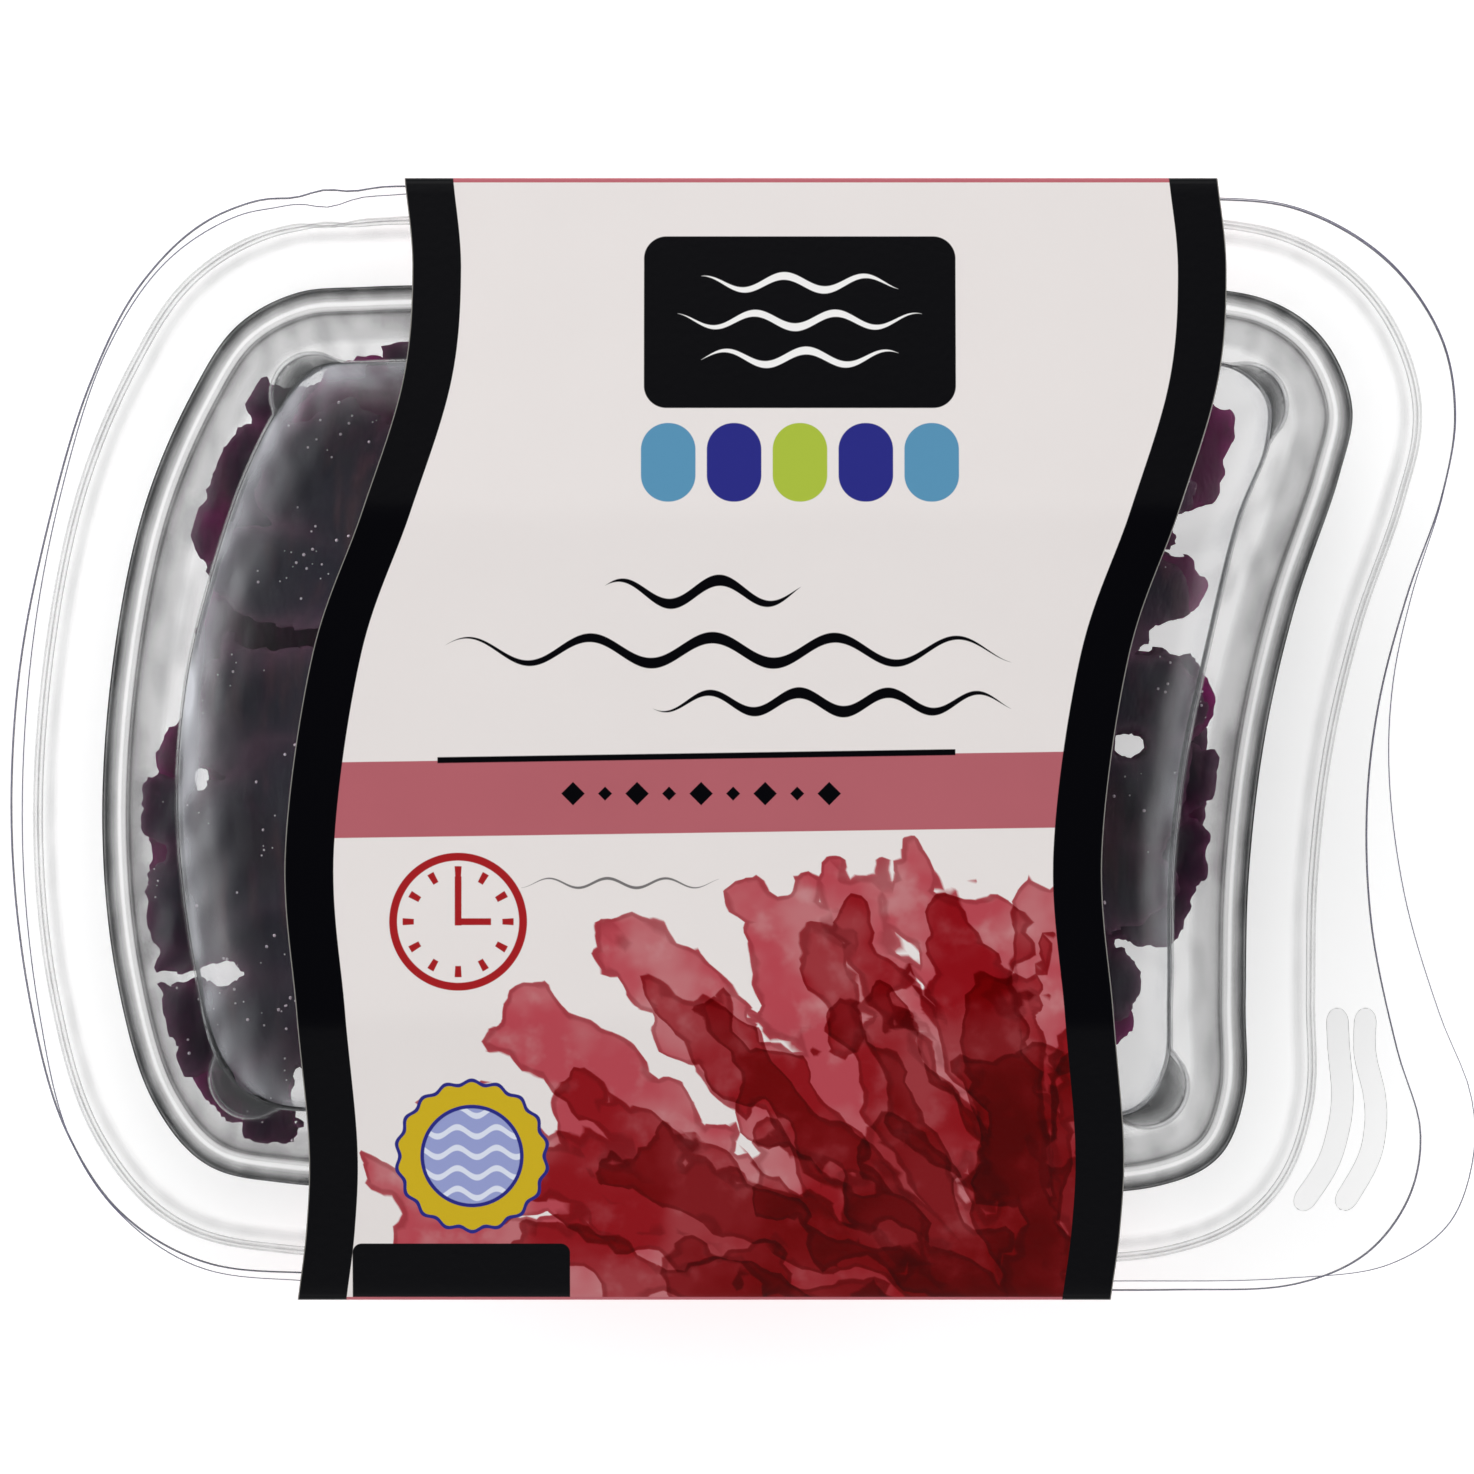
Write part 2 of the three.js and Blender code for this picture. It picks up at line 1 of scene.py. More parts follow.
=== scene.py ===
"""Scene of a clear tub of salted dulse seaweed, closed by a printed card sleeve, seen from straight above.

The classes hold their sizes in millimetres, and the meshes are in metres. The X axis runs along the pack
towards the lid's pull tab and Z points up. The pack lies on the plane where Z is 0.
"""

import logging
import math
from dataclasses import dataclass, field
from enum import Enum
from typing import Any, Optional, Sequence, Union

import bpy
import numpy as np
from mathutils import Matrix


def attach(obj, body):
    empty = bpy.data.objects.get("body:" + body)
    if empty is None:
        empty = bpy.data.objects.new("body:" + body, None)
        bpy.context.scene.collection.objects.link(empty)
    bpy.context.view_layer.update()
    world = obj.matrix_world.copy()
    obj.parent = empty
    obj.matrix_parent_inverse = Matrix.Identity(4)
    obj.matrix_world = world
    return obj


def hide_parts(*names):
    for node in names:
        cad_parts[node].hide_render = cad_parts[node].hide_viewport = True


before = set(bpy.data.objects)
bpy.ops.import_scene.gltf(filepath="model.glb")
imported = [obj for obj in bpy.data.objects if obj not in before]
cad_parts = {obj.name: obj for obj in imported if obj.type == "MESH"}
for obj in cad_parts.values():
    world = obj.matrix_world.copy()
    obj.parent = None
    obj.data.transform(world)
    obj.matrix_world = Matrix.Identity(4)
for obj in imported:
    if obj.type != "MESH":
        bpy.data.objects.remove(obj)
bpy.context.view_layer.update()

log = logging.getLogger("pack")
MM = 0.001
Point = tuple[float, float]
Triple = tuple[float, float, float]
Station = np.ndarray


class Wire:
    """An output socket that takes part in sums, products and comparisons of a node tree."""

    def __init__(self, tree: "Tree", socket: bpy.types.NodeSocket) -> None:
        """Keeps the socket and the tree that new nodes go into."""
        self.tree = tree
        self.socket = socket

    def of(self, output: str) -> "Wire":
        """Another output of the same node, by its name."""
        return Wire(self.tree, self.socket.node.outputs[output])

    def math(self, operation: str, *others: "Number", clamp: bool = False) -> "Wire":
        """The result of a Math node whose first input is this wire.

        Args:
            operation: The Math node's operation.
            others: The node's other inputs.
            clamp: Whether the result is kept between 0 and 1.

        Returns:
            The Math node's output.
        """
        return self.tree.make(
            "ShaderNodeMath", {"operation": operation, "use_clamp": clamp}, dict(enumerate((self, *others)))
        )

    def reverse(self, operation: str, other: "Number") -> "Wire":
        """The result of a Math node whose second input is this wire."""
        return self.tree.make("ShaderNodeMath", {"operation": operation}, {0: other, 1: self})

    def __add__(self, other: "Number") -> "Wire":
        """Sum."""
        return self.math("ADD", other)

    def __radd__(self, other: "Number") -> "Wire":
        """Sum with a number on the left."""
        return self.reverse("ADD", other)

    def __sub__(self, other: "Number") -> "Wire":
        """Difference."""
        return self.math("SUBTRACT", other)

    def __rsub__(self, other: "Number") -> "Wire":
        """Difference with a number on the left."""
        return self.reverse("SUBTRACT", other)

    def __mul__(self, other: "Number") -> "Wire":
        """Product."""
        return self.math("MULTIPLY", other)

    def __rmul__(self, other: "Number") -> "Wire":
        """Product with a number on the left."""
        return self.reverse("MULTIPLY", other)

    def __truediv__(self, other: "Number") -> "Wire":
        """Quotient."""
        return self.math("DIVIDE", other)

    def __neg__(self) -> "Wire":
        """The wire's negative."""
        return self.reverse("SUBTRACT", 0.0)

    def __pow__(self, other: "Number") -> "Wire":
        """Power."""
        return self.math("POWER", other)

    def size(self) -> "Wire":
        """The wire without its sign."""
        return self.math("ABSOLUTE")

    def sin(self) -> "Wire":
        """Sine of the wire, in radians."""
        return self.math("SINE")

    def larger(self, other: "Number") -> "Wire":
        """The larger of the two."""
        return self.math("MAXIMUM", other)

    def smaller(self, other: "Number") -> "Wire":
        """The smaller of the two."""
        return self.math("MINIMUM", other)

    def under(self, edge: "Number", soft: float = 0.08) -> "Wire":
        """A mask that is 1 where the wire is below an edge and 0 above it.

        Args:
            edge: The value at the edge.
            soft: The width over which the mask changes.

        Returns:
            The mask.
        """
        return ((edge - self) / soft + 0.5).clipped()

    def clipped(self) -> "Wire":
        """The wire kept between 0 and 1."""
        return self.math("ADD", 0.0, clamp=True)

    def ramp(self, low: float, high: float, to_low: float = 0.0, to_high: float = 1.0) -> "Wire":
        """The wire eased from one range of values to another.

        Args:
            low: The wire's value at which the result is at its first end.
            high: The wire's value at which it is at its other end.
            to_low: The result's first end.
            to_high: Its other end.

        Returns:
            The eased wire.
        """
        settings = {"interpolation_type": "SMOOTHSTEP"}
        values = {0: self, 1: low, 2: high, 3: to_low, 4: to_high}
        return self.tree.make("ShaderNodeMapRange", settings, values)


Number = Union[Wire, float]


class Tree:
    """A node tree that is written as expressions on wires."""

    def __init__(self, nodes: bpy.types.NodeTree) -> None:
        """Keeps the tree that new nodes go into."""
        self.nodes = nodes

    def make(
        self,
        kind: str,
        settings: Optional[dict[str, Any]] = None,
        values: Optional[dict[Union[str, int], Any]] = None,
        output: Union[str, int] = 0,
    ) -> Wire:
        """A new node with its settings made first and its inputs filled.

        Args:
            kind: The node's type.
            settings: The node's own properties, and "stops" for a ramp's positions and colours.
            values: What goes into each input, by the input's name or place: a wire or a value.
            output: The output that is wanted, by its name or place.

        Returns:
            The wanted output.
        """
        node = self.nodes.nodes.new(kind)
        for name, value in (settings or {}).items():
            if name == "stops":
                ramp = node.color_ramp
                while len(ramp.elements) < len(value):
                    ramp.elements.new(0.5)
                for element, (position, color) in zip(ramp.elements, value):
                    element.position = position
                    element.color = (*color, 1.0)
            else:
                setattr(node, name, value)
        for name, value in (values or {}).items():
            if isinstance(value, Wire):
                self.nodes.links.new(value.socket, node.inputs[name])
            else:
                node.inputs[name].default_value = value
        return Wire(self, node.outputs[output] if node.outputs else node.inputs[0])


class Paint(Tree):
    """The node tree of one material."""

    def __init__(self, name: str) -> None:
        """Starts a material with an empty tree."""
        self.material = bpy.data.materials.new(name)
        self.material.use_nodes = True
        super().__init__(self.material.node_tree)
        self.nodes.nodes.clear()

    def place(self) -> Wire:
        """The point on the piece, in metres."""
        return self.make("ShaderNodeTexCoord", output="Object")

    def axes(self) -> tuple[Wire, Wire, Wire]:
        """The point's X, Y and Z in millimetres."""
        parts = self.make("ShaderNodeSeparateXYZ", values={0: self.place()})
        return parts.of("X") * 1000.0, parts.of("Y") * 1000.0, parts.of("Z") * 1000.0

    def attribute(self, name: str) -> Wire:
        """A number that the mesh carries."""
        return self.make("ShaderNodeAttribute", {"attribute_name": name}, output="Fac")

    def noise(self, scale: float, detail: float = 3.0, stretch: Optional[Triple] = None) -> Wire:
        """Cloudy noise from 0 to 1.

        Args:
            scale: How many clouds there are to a metre.
            detail: How many finer layers it has.
            stretch: How much closer the clouds are along each axis.

        Returns:
            The noise.
        """
        place = self.place()
        if stretch:
            place = self.make("ShaderNodeMapping", values={"Vector": place, "Scale": stretch})
        return self.make("ShaderNodeTexNoise", values={"Vector": place, "Scale": scale, "Detail": detail})

    def blend(self, share: Number, first: Any, second: Any, way: str = "MIX") -> Wire:
        """Two colours mixed.

        Args:
            share: How much of the second colour there is.
            first: The colour under it.
            second: The colour over it.
            way: The Mix node's blend type.

        Returns:
            The mixed colour.
        """
        settings = {"data_type": "RGBA", "blend_type": way}
        return self.make("ShaderNodeMix", settings, {0: share, 6: rgba(first), 7: rgba(second)}, output=2)

    def bump(self, height: Wire, strength: float, depth: float) -> Wire:
        """A normal that is tilted by a height.

        Args:
            height: The height, from 0 to 1.
            strength: How much of the tilt is used.
            depth: The height's size in millimetres.

        Returns:
            The normal.
        """
        values = {"Height": height, "Strength": strength, "Distance": depth * MM}
        return self.make("ShaderNodeBump", values=values)

    def finish(self, shader: Wire) -> bpy.types.Material:
        """The material, once its last shader is known."""
        self.make("ShaderNodeOutputMaterial", values={"Surface": shader})
        return self.material


def rgba(color: Any) -> Any:
    """A colour with full alpha, or a wire as it is."""
    return color if isinstance(color, Wire) else (*color, 1.0)


class Draft(Tree):
    """A Geometry Nodes tree that changes an object's mesh or curve."""

    def __init__(self, name: str, sizes: dict[str, float]) -> None:
        """Starts a tree with a geometry input and one named input for each size.

        Args:
            name: The tree's name.
            sizes: Each size's name and value.
        """
        super().__init__(bpy.data.node_groups.new(name, "GeometryNodeTree"))
        side = self.nodes.interface
        side.new_socket("Geometry", in_out="INPUT", socket_type="NodeSocketGeometry")
        side.new_socket("Geometry", in_out="OUTPUT", socket_type="NodeSocketGeometry")
        for size in sizes:
            side.new_socket(size, in_out="INPUT", socket_type="NodeSocketFloat")
        self.sizes = sizes
        self.start = self.make("NodeGroupInput")

    def mesh_of(
        self, source: bpy.types.Object, result: Wire, material: bpy.types.Material
    ) -> bpy.types.Mesh:
        """The mesh that the tree makes of an object.

        Args:
            source: The object whose geometry goes in.
            result: The geometry that comes out.
            material: The material of everything in it.

        Returns:
            A plain mesh.
        """
        real = self.make("GeometryNodeRealizeInstances", values={0: result})
        painted = self.make("GeometryNodeSetMaterial", values={"Geometry": real, "Material": material})
        self.make("NodeGroupOutput", values={0: painted})
        modifier = source.modifiers.new("draft", "NODES")
        modifier.node_group = self.nodes
        for item in self.nodes.interface.items_tree:
            if item.in_out == "INPUT" and item.name in self.sizes:
                modifier[item.identifier] = self.sizes[item.name]
        graph = bpy.context.evaluated_depsgraph_get()
        mesh = bpy.data.meshes.new_from_object(source.evaluated_get(graph))
        source.modifiers.remove(modifier)
        return mesh


def mesh_from(
    name: str, vertices: np.ndarray, faces: Sequence[Sequence[int]], sharp: float = 180.0
) -> bpy.types.Mesh:
    """A smooth-shaded mesh.

    Args:
        name: The mesh's name.
        vertices: The points in millimetres.
        faces: The corners of each face.
        sharp: The angle in degrees past which an edge stays sharp.

    Returns:
        The mesh, in metres.
    """
    mesh = bpy.data.meshes.new(name)
    mesh.from_pydata((np.asarray(vertices) * MM).tolist(), [], faces)
    mesh.polygons.foreach_set("use_smooth", np.ones(len(mesh.polygons), bool))
    if sharp < 180.0:
        mesh.set_sharp_from_angle(angle=math.radians(sharp))
    mesh.update()
    return mesh


def add_numbers(mesh: bpy.types.Mesh, name: str, values: np.ndarray, domain: str = "POINT") -> None:
    """Gives a mesh one number for each of its points, or for each face."""
    mesh.attributes.new(name, "FLOAT", domain).data.foreach_set("value", np.asarray(values, np.float32))


def place_piece(
    name: str, mesh: bpy.types.Mesh, material: bpy.types.Material
) -> bpy.types.Object:
    """Puts a finished mesh into the scene as a piece of the pack.

    Args:
        name: The piece's name.
        mesh: Its mesh, already in place.
        material: Its finish.

    Returns:
        The piece.
    """
    mesh.materials.clear()
    mesh.materials.append(material)
    piece = bpy.data.objects.new(name, mesh)
    bpy.context.scene.collection.objects.link(piece)
    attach(piece, "root")
    log.info("%s: %d faces", name, len(mesh.polygons))
    return piece


def ease(value: np.ndarray) -> np.ndarray:
    """Eases 0 to 1, and keeps what lies outside at its nearer end."""
    share = np.clip(value, 0.0, 1.0)
    return share * share * (3.0 - 2.0 * share)


@dataclass(frozen=True)
class Ripple:
    """A smooth random surface made of a few waves.

    Attributes:
        length: The waves' middle length in millimetres.
        seed: What fixes their directions.
        count: How many there are.
    """

    length: float
    seed: int
    count: int = 9

    def at(self, x: np.ndarray, y: np.ndarray) -> np.ndarray:
        """The surface's height at some points.

        Args:
            x: Their X.
            y: Their Y.

        Returns:
            The heights, mostly between -1 and 1.
        """
        draw = np.random.default_rng(self.seed)
        total = np.zeros_like(x, dtype=float)
        for _ in range(self.count):
            turn, phase = draw.uniform(0.0, 2.0 * math.pi, 2)
            rate = 2.0 * math.pi / (self.length * draw.uniform(0.7, 1.5))
            total = total + np.sin(rate * (x * math.cos(turn) + y * math.sin(turn)) + phase)
        return total * math.sqrt(2.0 / self.count) * 0.7


@dataclass(frozen=True)
class Outline:
    """A smooth closed line seen from above, clockwise through its points."""

    points: tuple[Point, ...]

    def line(self, steps: int = 40) -> np.ndarray:
        """The line's points.

        Args:
            steps: How many steps there are between two given points.

        Returns:
            An array of X and Y.
        """
        given = np.array(self.points, float)
        p0, p1, p2, p3 = (np.roll(given, 1 - turn, axis=0)[:, None, :] for turn in range(4))
        t0 = np.zeros(len(given))
        t1 = t0 + np.sqrt(np.linalg.norm(p1 - p0, axis=2))[:, 0]
        t2 = t1 + np.sqrt(np.linalg.norm(p2 - p1, axis=2))[:, 0]
        t3 = t2 + np.sqrt(np.linalg.norm(p3 - p2, axis=2))[:, 0]
        now = t1[:, None] + (np.arange(steps) / steps)[None, :] * (t2 - t1)[:, None]
        a1 = self.between(p0, p1, t0, t1, now)
        a2 = self.between(p1, p2, t1, t2, now)
        a3 = self.between(p2, p3, t2, t3, now)
        b1 = self.between(a1, a2, t0, t2, now)
        b2 = self.between(a2, a3, t1, t3, now)
        return self.between(b1, b2, t1, t2, now).reshape(-1, 2)

    @staticmethod
    def between(
        a: np.ndarray, b: np.ndarray, start: np.ndarray, end: np.ndarray, now: np.ndarray
    ) -> np.ndarray:
        """The point between a at the start time and b at the end time."""
        share = ((now - start[:, None]) / (end - start)[:, None])[..., None]
        return a + (b - a) * share

    def moved(self, distance: float) -> np.ndarray:
        """The line moved to one side.

        Args:
            distance: How far it moves outwards, or inwards where that is negative.

        Returns:
            An array of X and Y.
        """
        line = self.line()
        along = np.roll(line, -1, axis=0) - np.roll(line, 1, axis=0)
        along /= np.linalg.norm(along, axis=1)[:, None]
        return line + distance * np.stack([-along[:, 1], along[:, 0]], axis=1)


def reach_of(line: np.ndarray, angles: np.ndarray) -> np.ndarray:
    """How far a closed line is from the middle.

    Args:
        line: The line's points.
        angles: The directions that are wanted.

    Returns:
        The distance in each direction.
    """
    own = np.arctan2(line[:, 1], line[:, 0])
    order = np.argsort(own)
    return np.interp(angles, own[order], np.hypot(line[:, 0], line[:, 1])[order], period=2.0 * math.pi)


MOUTH = Outline((
    (-40, 48), (8, 48.1), (48, 48), (56.9, 46.2), (62, 42.2), (64.8, 35.2), (63.4, 28), (58.7, 14.2),
    (55.4, 0.1), (53.7, -14.5), (53.4, -28), (53.3, -38), (50.6, -44.4), (44, -47.5), (20, -47.9),
    (-20, -47.6), (-48.3, -47.2), (-57, -45.2), (-62.6, -38.6), (-66.4, -26), (-68, -10), (-66.9, 8),
    (-63.6, 24.5), (-58.6, 36.5), (-53.8, 43.8), (-47.6, 47.3),
))
TUB_EDGE = Outline((
    (-44, 58.8), (6, 58.3), (48, 57.9), (59.5, 56.7), (69, 51.2), (74.8, 43), (76.3, 34.6), (74.9, 26),
    (71.2, 15.4), (68.2, 4), (66.9, -7.3), (67.4, -20), (70.1, -33.2), (72.6, -42), (71.4, -49),
    (66.9, -55), (59.5, -58.3), (46, -59), (-4, -58.2), (-44, -57.3), (-57.7, -56), (-66.5, -50.8),
    (-72.4, -42), (-76, -29.6), (-78.2, -12), (-77.6, 6), (-74.6, 22), (-69.9, 38), (-64.2, 49), (-56.4, 56),
))
LID_EDGE = Outline((
    (-44, 58), (6, 58.1), (48, 58), (59.5, 56.8), (69, 51.3), (74.8, 43), (76.3, 34.6), (74.9, 26),
    (71.6, 15.4), (69.6, 6), (69.2, -4), (70.9, -17), (74.6, -29.5), (77.9, -38), (78.2, -44.5),
    (75.6, -51.8), (69.2, -56.2), (58, -57.7), (39, -58), (-4, -58), (-46, -58), (-58.4, -56.4),
    (-66.8, -50.6), (-72, -42.6), (-75.2, -29.5), (-77, -12), (-76.2, 8), (-73, 26), (-67.9, 41.8),
    (-61.5, 51.2), (-53.5, 56.2),
))
DOME = Outline((
    (-40, 40.5), (6, 40.5), (46, 40.4), (53, 40), (56.6, 36.6), (56.6, 31.9), (53.6, 24), (50.1, 9.5),
    (47.6, -2.4), (46.3, -14.5), (46.1, -28), (45.6, -35.6), (42.6, -39.9), (36, -40.8), (-4, -40.4),
    (-44, -40), (-51.5, -39), (-56, -34.8), (-58.9, -24), (-60.7, -8), (-59.8, 6), (-57.1, 17.5),
    (-53.2, 29), (-49.3, 36.3), (-45.6, 39.9),
))


@dataclass(frozen=True)
class ClearSheet:
    """Finish of formed clear plastic: nearly unseen face-on, with painted dark shade at its walls and where
    it turns away, and a pale painted highlight.

    Attributes:
        name: The material's name.
        painted_sheen: How much of the sheet shows everywhere, a painted reflection of the soft light.
        steep: How much more of it shows where it is seen edge-on, as painted shade.
        turns: How far it is turned away where that starts, and where it is in full.
        shine: How much it mirrors face-on.
        glint: How much more it mirrors edge-on.
        cut_share: How much painted shade shows at the cut edge.
        roughness: How blurred what it mirrors is.
        painted_shade: Its colour where shade is painted, on steep walls and where it turns away.
        painted_highlight: Its colour where a pale highlight is painted, for bright light that it mirrors.
        edge: Its colour at the cut edge, a painted shade.
    """

    name: str
    painted_sheen: float = 0.002
    steep: float = 0.26
    turns: Point = (0.4, 0.97)
    shine: float = 0.012
    glint: float = 0.6
    cut_share: float = 0.85
    roughness: float = 0.24
    painted_shade: Triple = (0.085, 0.088, 0.09)
    painted_highlight: Triple = (0.60, 0.61, 0.65)
    edge: Triple = (0.13, 0.125, 0.19)

    def material(self) -> bpy.types.Material:
        """Makes the finish.

        Returns:
            The material.
        """
        paint = Paint(self.name)
        turned = paint.make("ShaderNodeLayerWeight", values={"Blend": 0.5}, output="Facing")
        cut = paint.attribute("cut_edge")
        pale = paint.attribute("pale")
        tint = paint.attribute("tint")
        # The body mixed in here is painted light: dark painted shade on walls and edge-on, and a pale
        # painted highlight where the mesh is pale.
        share = (tint + turned.ramp(*self.turns) * self.steep + self.painted_sheen).larger(cut * self.cut_share)
        color = paint.blend(cut, paint.blend(pale, self.painted_shade, self.painted_highlight), self.edge)
        body = paint.make("ShaderNodeBsdfDiffuse", values={"Color": color})
        clear = paint.make("ShaderNodeBsdfTransparent")
        sheet = paint.make("ShaderNodeMixShader", values={0: share, 1: clear, 2: body})
        gloss = paint.make("ShaderNodeBsdfAnisotropic", values={"Roughness": self.roughness})
        mirror = turned ** 5.0 * self.glint + self.shine
        return paint.finish(paint.make("ShaderNodeMixShader", values={0: mirror, 1: sheet, 2: gloss}))


@dataclass
class Rim:
    """The directions round the pack at which its formed sheets have their points.

    Attributes:
        count: How many directions there are.
        turn_weight: How much closer together they are where the mouth turns, in millimetres a radian.
    """

    count: int = 440
    turn_weight: float = 12.0
    angles: np.ndarray = field(init=False)

    def __post_init__(self) -> None:
        """Spreads the directions along the mouth's line."""
        line = MOUTH.line()
        step = np.roll(line, -1, axis=0) - line
        facing = np.unwrap(np.arctan2(step[:, 1], step[:, 0]))
        turn = np.abs(np.roll(facing, -1) - facing)
        turn[-1] = turn[0]
        total = np.concatenate([[0.0], np.cumsum(np.linalg.norm(step, axis=1) + self.turn_weight * turn)])
        own = np.unwrap(np.arctan2(line[:, 1], line[:, 0]))
        own = np.append(own, own[0] - 2.0 * math.pi)
        wanted = np.arange(self.count) / self.count * total[-1]
        self.angles = np.sort(np.mod(np.interp(wanted, total, own), 2.0 * math.pi))

    def ring(self, reach: np.ndarray, z: Union[float, np.ndarray], tint: float, pale: float) -> Station:
        """A ring of points.

        Args:
            reach: Each point's distance from the middle.
            z: Their height.
            tint: How much painted shade or painted highlight shows there.
            pale: How much of that is pale painted highlight rather than dark painted shade.

        Returns:
            An array with a row of reach, height, painted light and paleness for each direction.
        """
        return np.stack([reach, *(np.broadcast_to(value, reach.shape) for value in (z, tint, pale))], axis=1)

    def mouth(self, distance: float, z: float, tint: float = 0.0, pale: float = 0.0) -> Station:
        """A ring at a distance outside the mouth's line."""
        return self.ring(reach_of(MOUTH.moved(distance), self.angles), z, tint, pale)

    def edge(self, outline: Outline, z: float, inset: float) -> Station:
        """A ring a little inside a line."""
        return self.ring(reach_of(outline.line(), self.angles) - inset, z, 0.0, 0.0)

    def places(self, rings: np.ndarray) -> np.ndarray:
        """The points of rings in space."""
        reach, z = rings[..., 0], rings[..., 1]
        x, y = reach * np.cos(self.angles), reach * np.sin(self.angles)
        return np.stack([x, y, z], axis=-1).reshape(-1, 3)


@dataclass
class FormedSheet:
    """A closed sheet of plastic of even thickness, drawn over a form.

    Attributes:
        rim: The directions of its points.
        buckle: The height of the largest buckle in its flange.
        thickness: The sheet's thickness.
        bend: The length on each side of a corner that its rounding takes.
        edge_round: How far the cut edge is rounded back.
        corner_steps: How many steps each rounded corner has.
    """

    rim: Rim
    buckle: float
    thickness: float = 0.45
    bend: float = 0.55
    edge_round: float = 0.16
    corner_steps: int = 2

    def rounded(self, stations: Sequence[Station]) -> np.ndarray:
        """The stations with every corner between them rounded.

        Args:
            stations: The rings, from the middle outwards.

        Returns:
            All rings in one array.
        """
        made = [stations[0]]
        for before, here, after in zip(stations, stations[1:], stations[2:]):
            back, ahead = before - here, after - here
            back_length = np.linalg.norm(back[:, :2], axis=1)[:, None] + 1e-9
            ahead_length = np.linalg.norm(ahead[:, :2], axis=1)[:, None] + 1e-9
            cut = np.minimum(self.bend, 0.46 * np.minimum(back_length, ahead_length))
            start, end = here + back / back_length * cut, here + ahead / ahead_length * cut
            for step in range(self.corner_steps + 1):
                t = step / self.corner_steps
                made.append((1 - t) ** 2 * start + 2 * t * (1 - t) * here + t * t * end)
        made.append(stations[-1])
        return np.stack(made)

    def under(self, upper: np.ndarray) -> np.ndarray:
        """The lower face of a sheet.

        Args:
            upper: The rings of its upper face.

        Returns:
            The rings of its lower face.
        """
        along = np.gradient(upper[..., :2], axis=0)
        along /= np.linalg.norm(along, axis=2)[..., None] + 1e-9
        lower = upper.copy()
        lower[..., 0] += along[..., 1] * self.thickness
        lower[..., 1] -= along[..., 0] * self.thickness
        return lower

    def waves_smudges_and_glints(self, rings: np.ndarray) -> np.ndarray:
        """The rings with the sheet's slow waves, and with smudges that vary its painted shade and painted
        highlight, most where it is pale.

        Args:
            rings: All rings in one array.

        Returns:
            The changed rings.
        """
        x = rings[..., 0] * np.cos(self.rim.angles)
        y = rings[..., 0] * np.sin(self.rim.angles)
        pale = rings[..., 3]
        waves = 0.6 * Ripple(11.0, 21).at(x, 0.4 * y) + 0.4 * Ripple(5.0, 22).at(x, 0.5 * y)
        smudges_and_glints = np.clip(0.7 * Ripple(9.0, 23).at(x, 0.3 * y) + Ripple(2.6, 24).at(x, 0.5 * y), -1.2, 1.6)
        made = rings.copy()
        made[..., 1] += (0.02 + 0.05 * pale) * waves * ease((rings[..., 0] - 5.0) / 15.0)
        # Smudges vary the painted shade and the painted highlight, most where the highlight is painted.
        made[..., 2] *= 1.0 + (0.10 + 0.32 * pale) * smudges_and_glints
        made[..., 2] += 0.2 * pale * (1.0 - pale) * np.maximum(smudges_and_glints, -0.2)
        return made

    def mesh(self, name: str, middle: float, stations: Sequence[Station]) -> bpy.types.Mesh:
        """Makes the sheet.

        Args:
            name: The sheet's name.
            middle: The height of its upper face in the middle.
            stations: Its rings from the middle outwards.

        Returns:
            A closed mesh that carries the painted light, its paleness and the cut edge.
        """
        upper = self.rounded(stations)
        lower = self.under(upper)
        lower[-1, :, 0] = upper[-1, :, 0]
        edge = []
        for turn in np.linspace(0.5 * math.pi, -0.5 * math.pi, 5):
            ring = 0.5 * (upper[-1] + lower[-1])
            ring[:, 0] += self.edge_round * (math.cos(turn) - 1.0)
            ring[:, 1] += 0.5 * self.thickness * math.sin(turn)
            edge.append(ring)
        rings = self.waves_smudges_and_glints(np.concatenate([upper[:-1], np.stack(edge), lower[:-1][::-2]]))
        ends = np.array([[0.0, 0.0, middle], [0.0, 0.0, middle - self.thickness]])
        vertices = buckled(np.concatenate([self.rim.places(rings), ends]), self.buckle)
        mesh = mesh_from(name, vertices, ring_faces(len(rings), self.rim.count))
        at_edge = np.zeros(rings.shape[:2])
        at_edge[len(upper) - 1 : len(upper) + 4] = 1.0
        for field_name, values in (
            ("tint", rings[..., 2]), ("pale", rings[..., 3]), ("cut_edge", at_edge),
        ):
            add_numbers(mesh, field_name, np.append(values.reshape(-1), [values[0, 0], values[-1, 0]]))
        return mesh


def ring_faces(rings: int, count: int) -> list[tuple[int, ...]]:
    """Faces between rings of points, closed by a fan at each end.

    Args:
        rings: How many rings there are.
        count: How many points each has.

    Returns:
        The faces. The first fan's middle is the point after the last ring, and the other's comes next.
    """
    faces: list[tuple[int, ...]] = []
    top, bottom = rings * count, rings * count + 1
    last = (rings - 1) * count
    for step in range(count):
        after = (step + 1) % count
        faces.append((top, step, after))
        faces.append((last + step, bottom, last + after))
        for ring in range(0, last, count):
            faces.append((ring + step, ring + count + step, ring + count + after, ring + after))
    return faces


def buckled(vertices: np.ndarray, lift: float) -> np.ndarray:
    """A flange that is buckled where the sleeve's edge presses on it.

    Args:
        vertices: The sheet's points.
        lift: The height of the largest buckle.

    Returns:
        The points with the buckles.
    """
    x, y = vertices[:, 0], vertices[:, 1]
    near = np.exp(-(((x + 45.0) / 5.5) ** 2)) * ease((y - 53.0) / 4.0)
    made = vertices.copy()
    made[:, 2] += lift * near * (0.3 + np.sin(0.9 * x + 0.6 * y))
    made[:, 1] -= near * (0.2 + 2.4 * max(lift, 0.0) + 0.3 * np.sin(0.85 * x + 5.0 * lift))
    return made


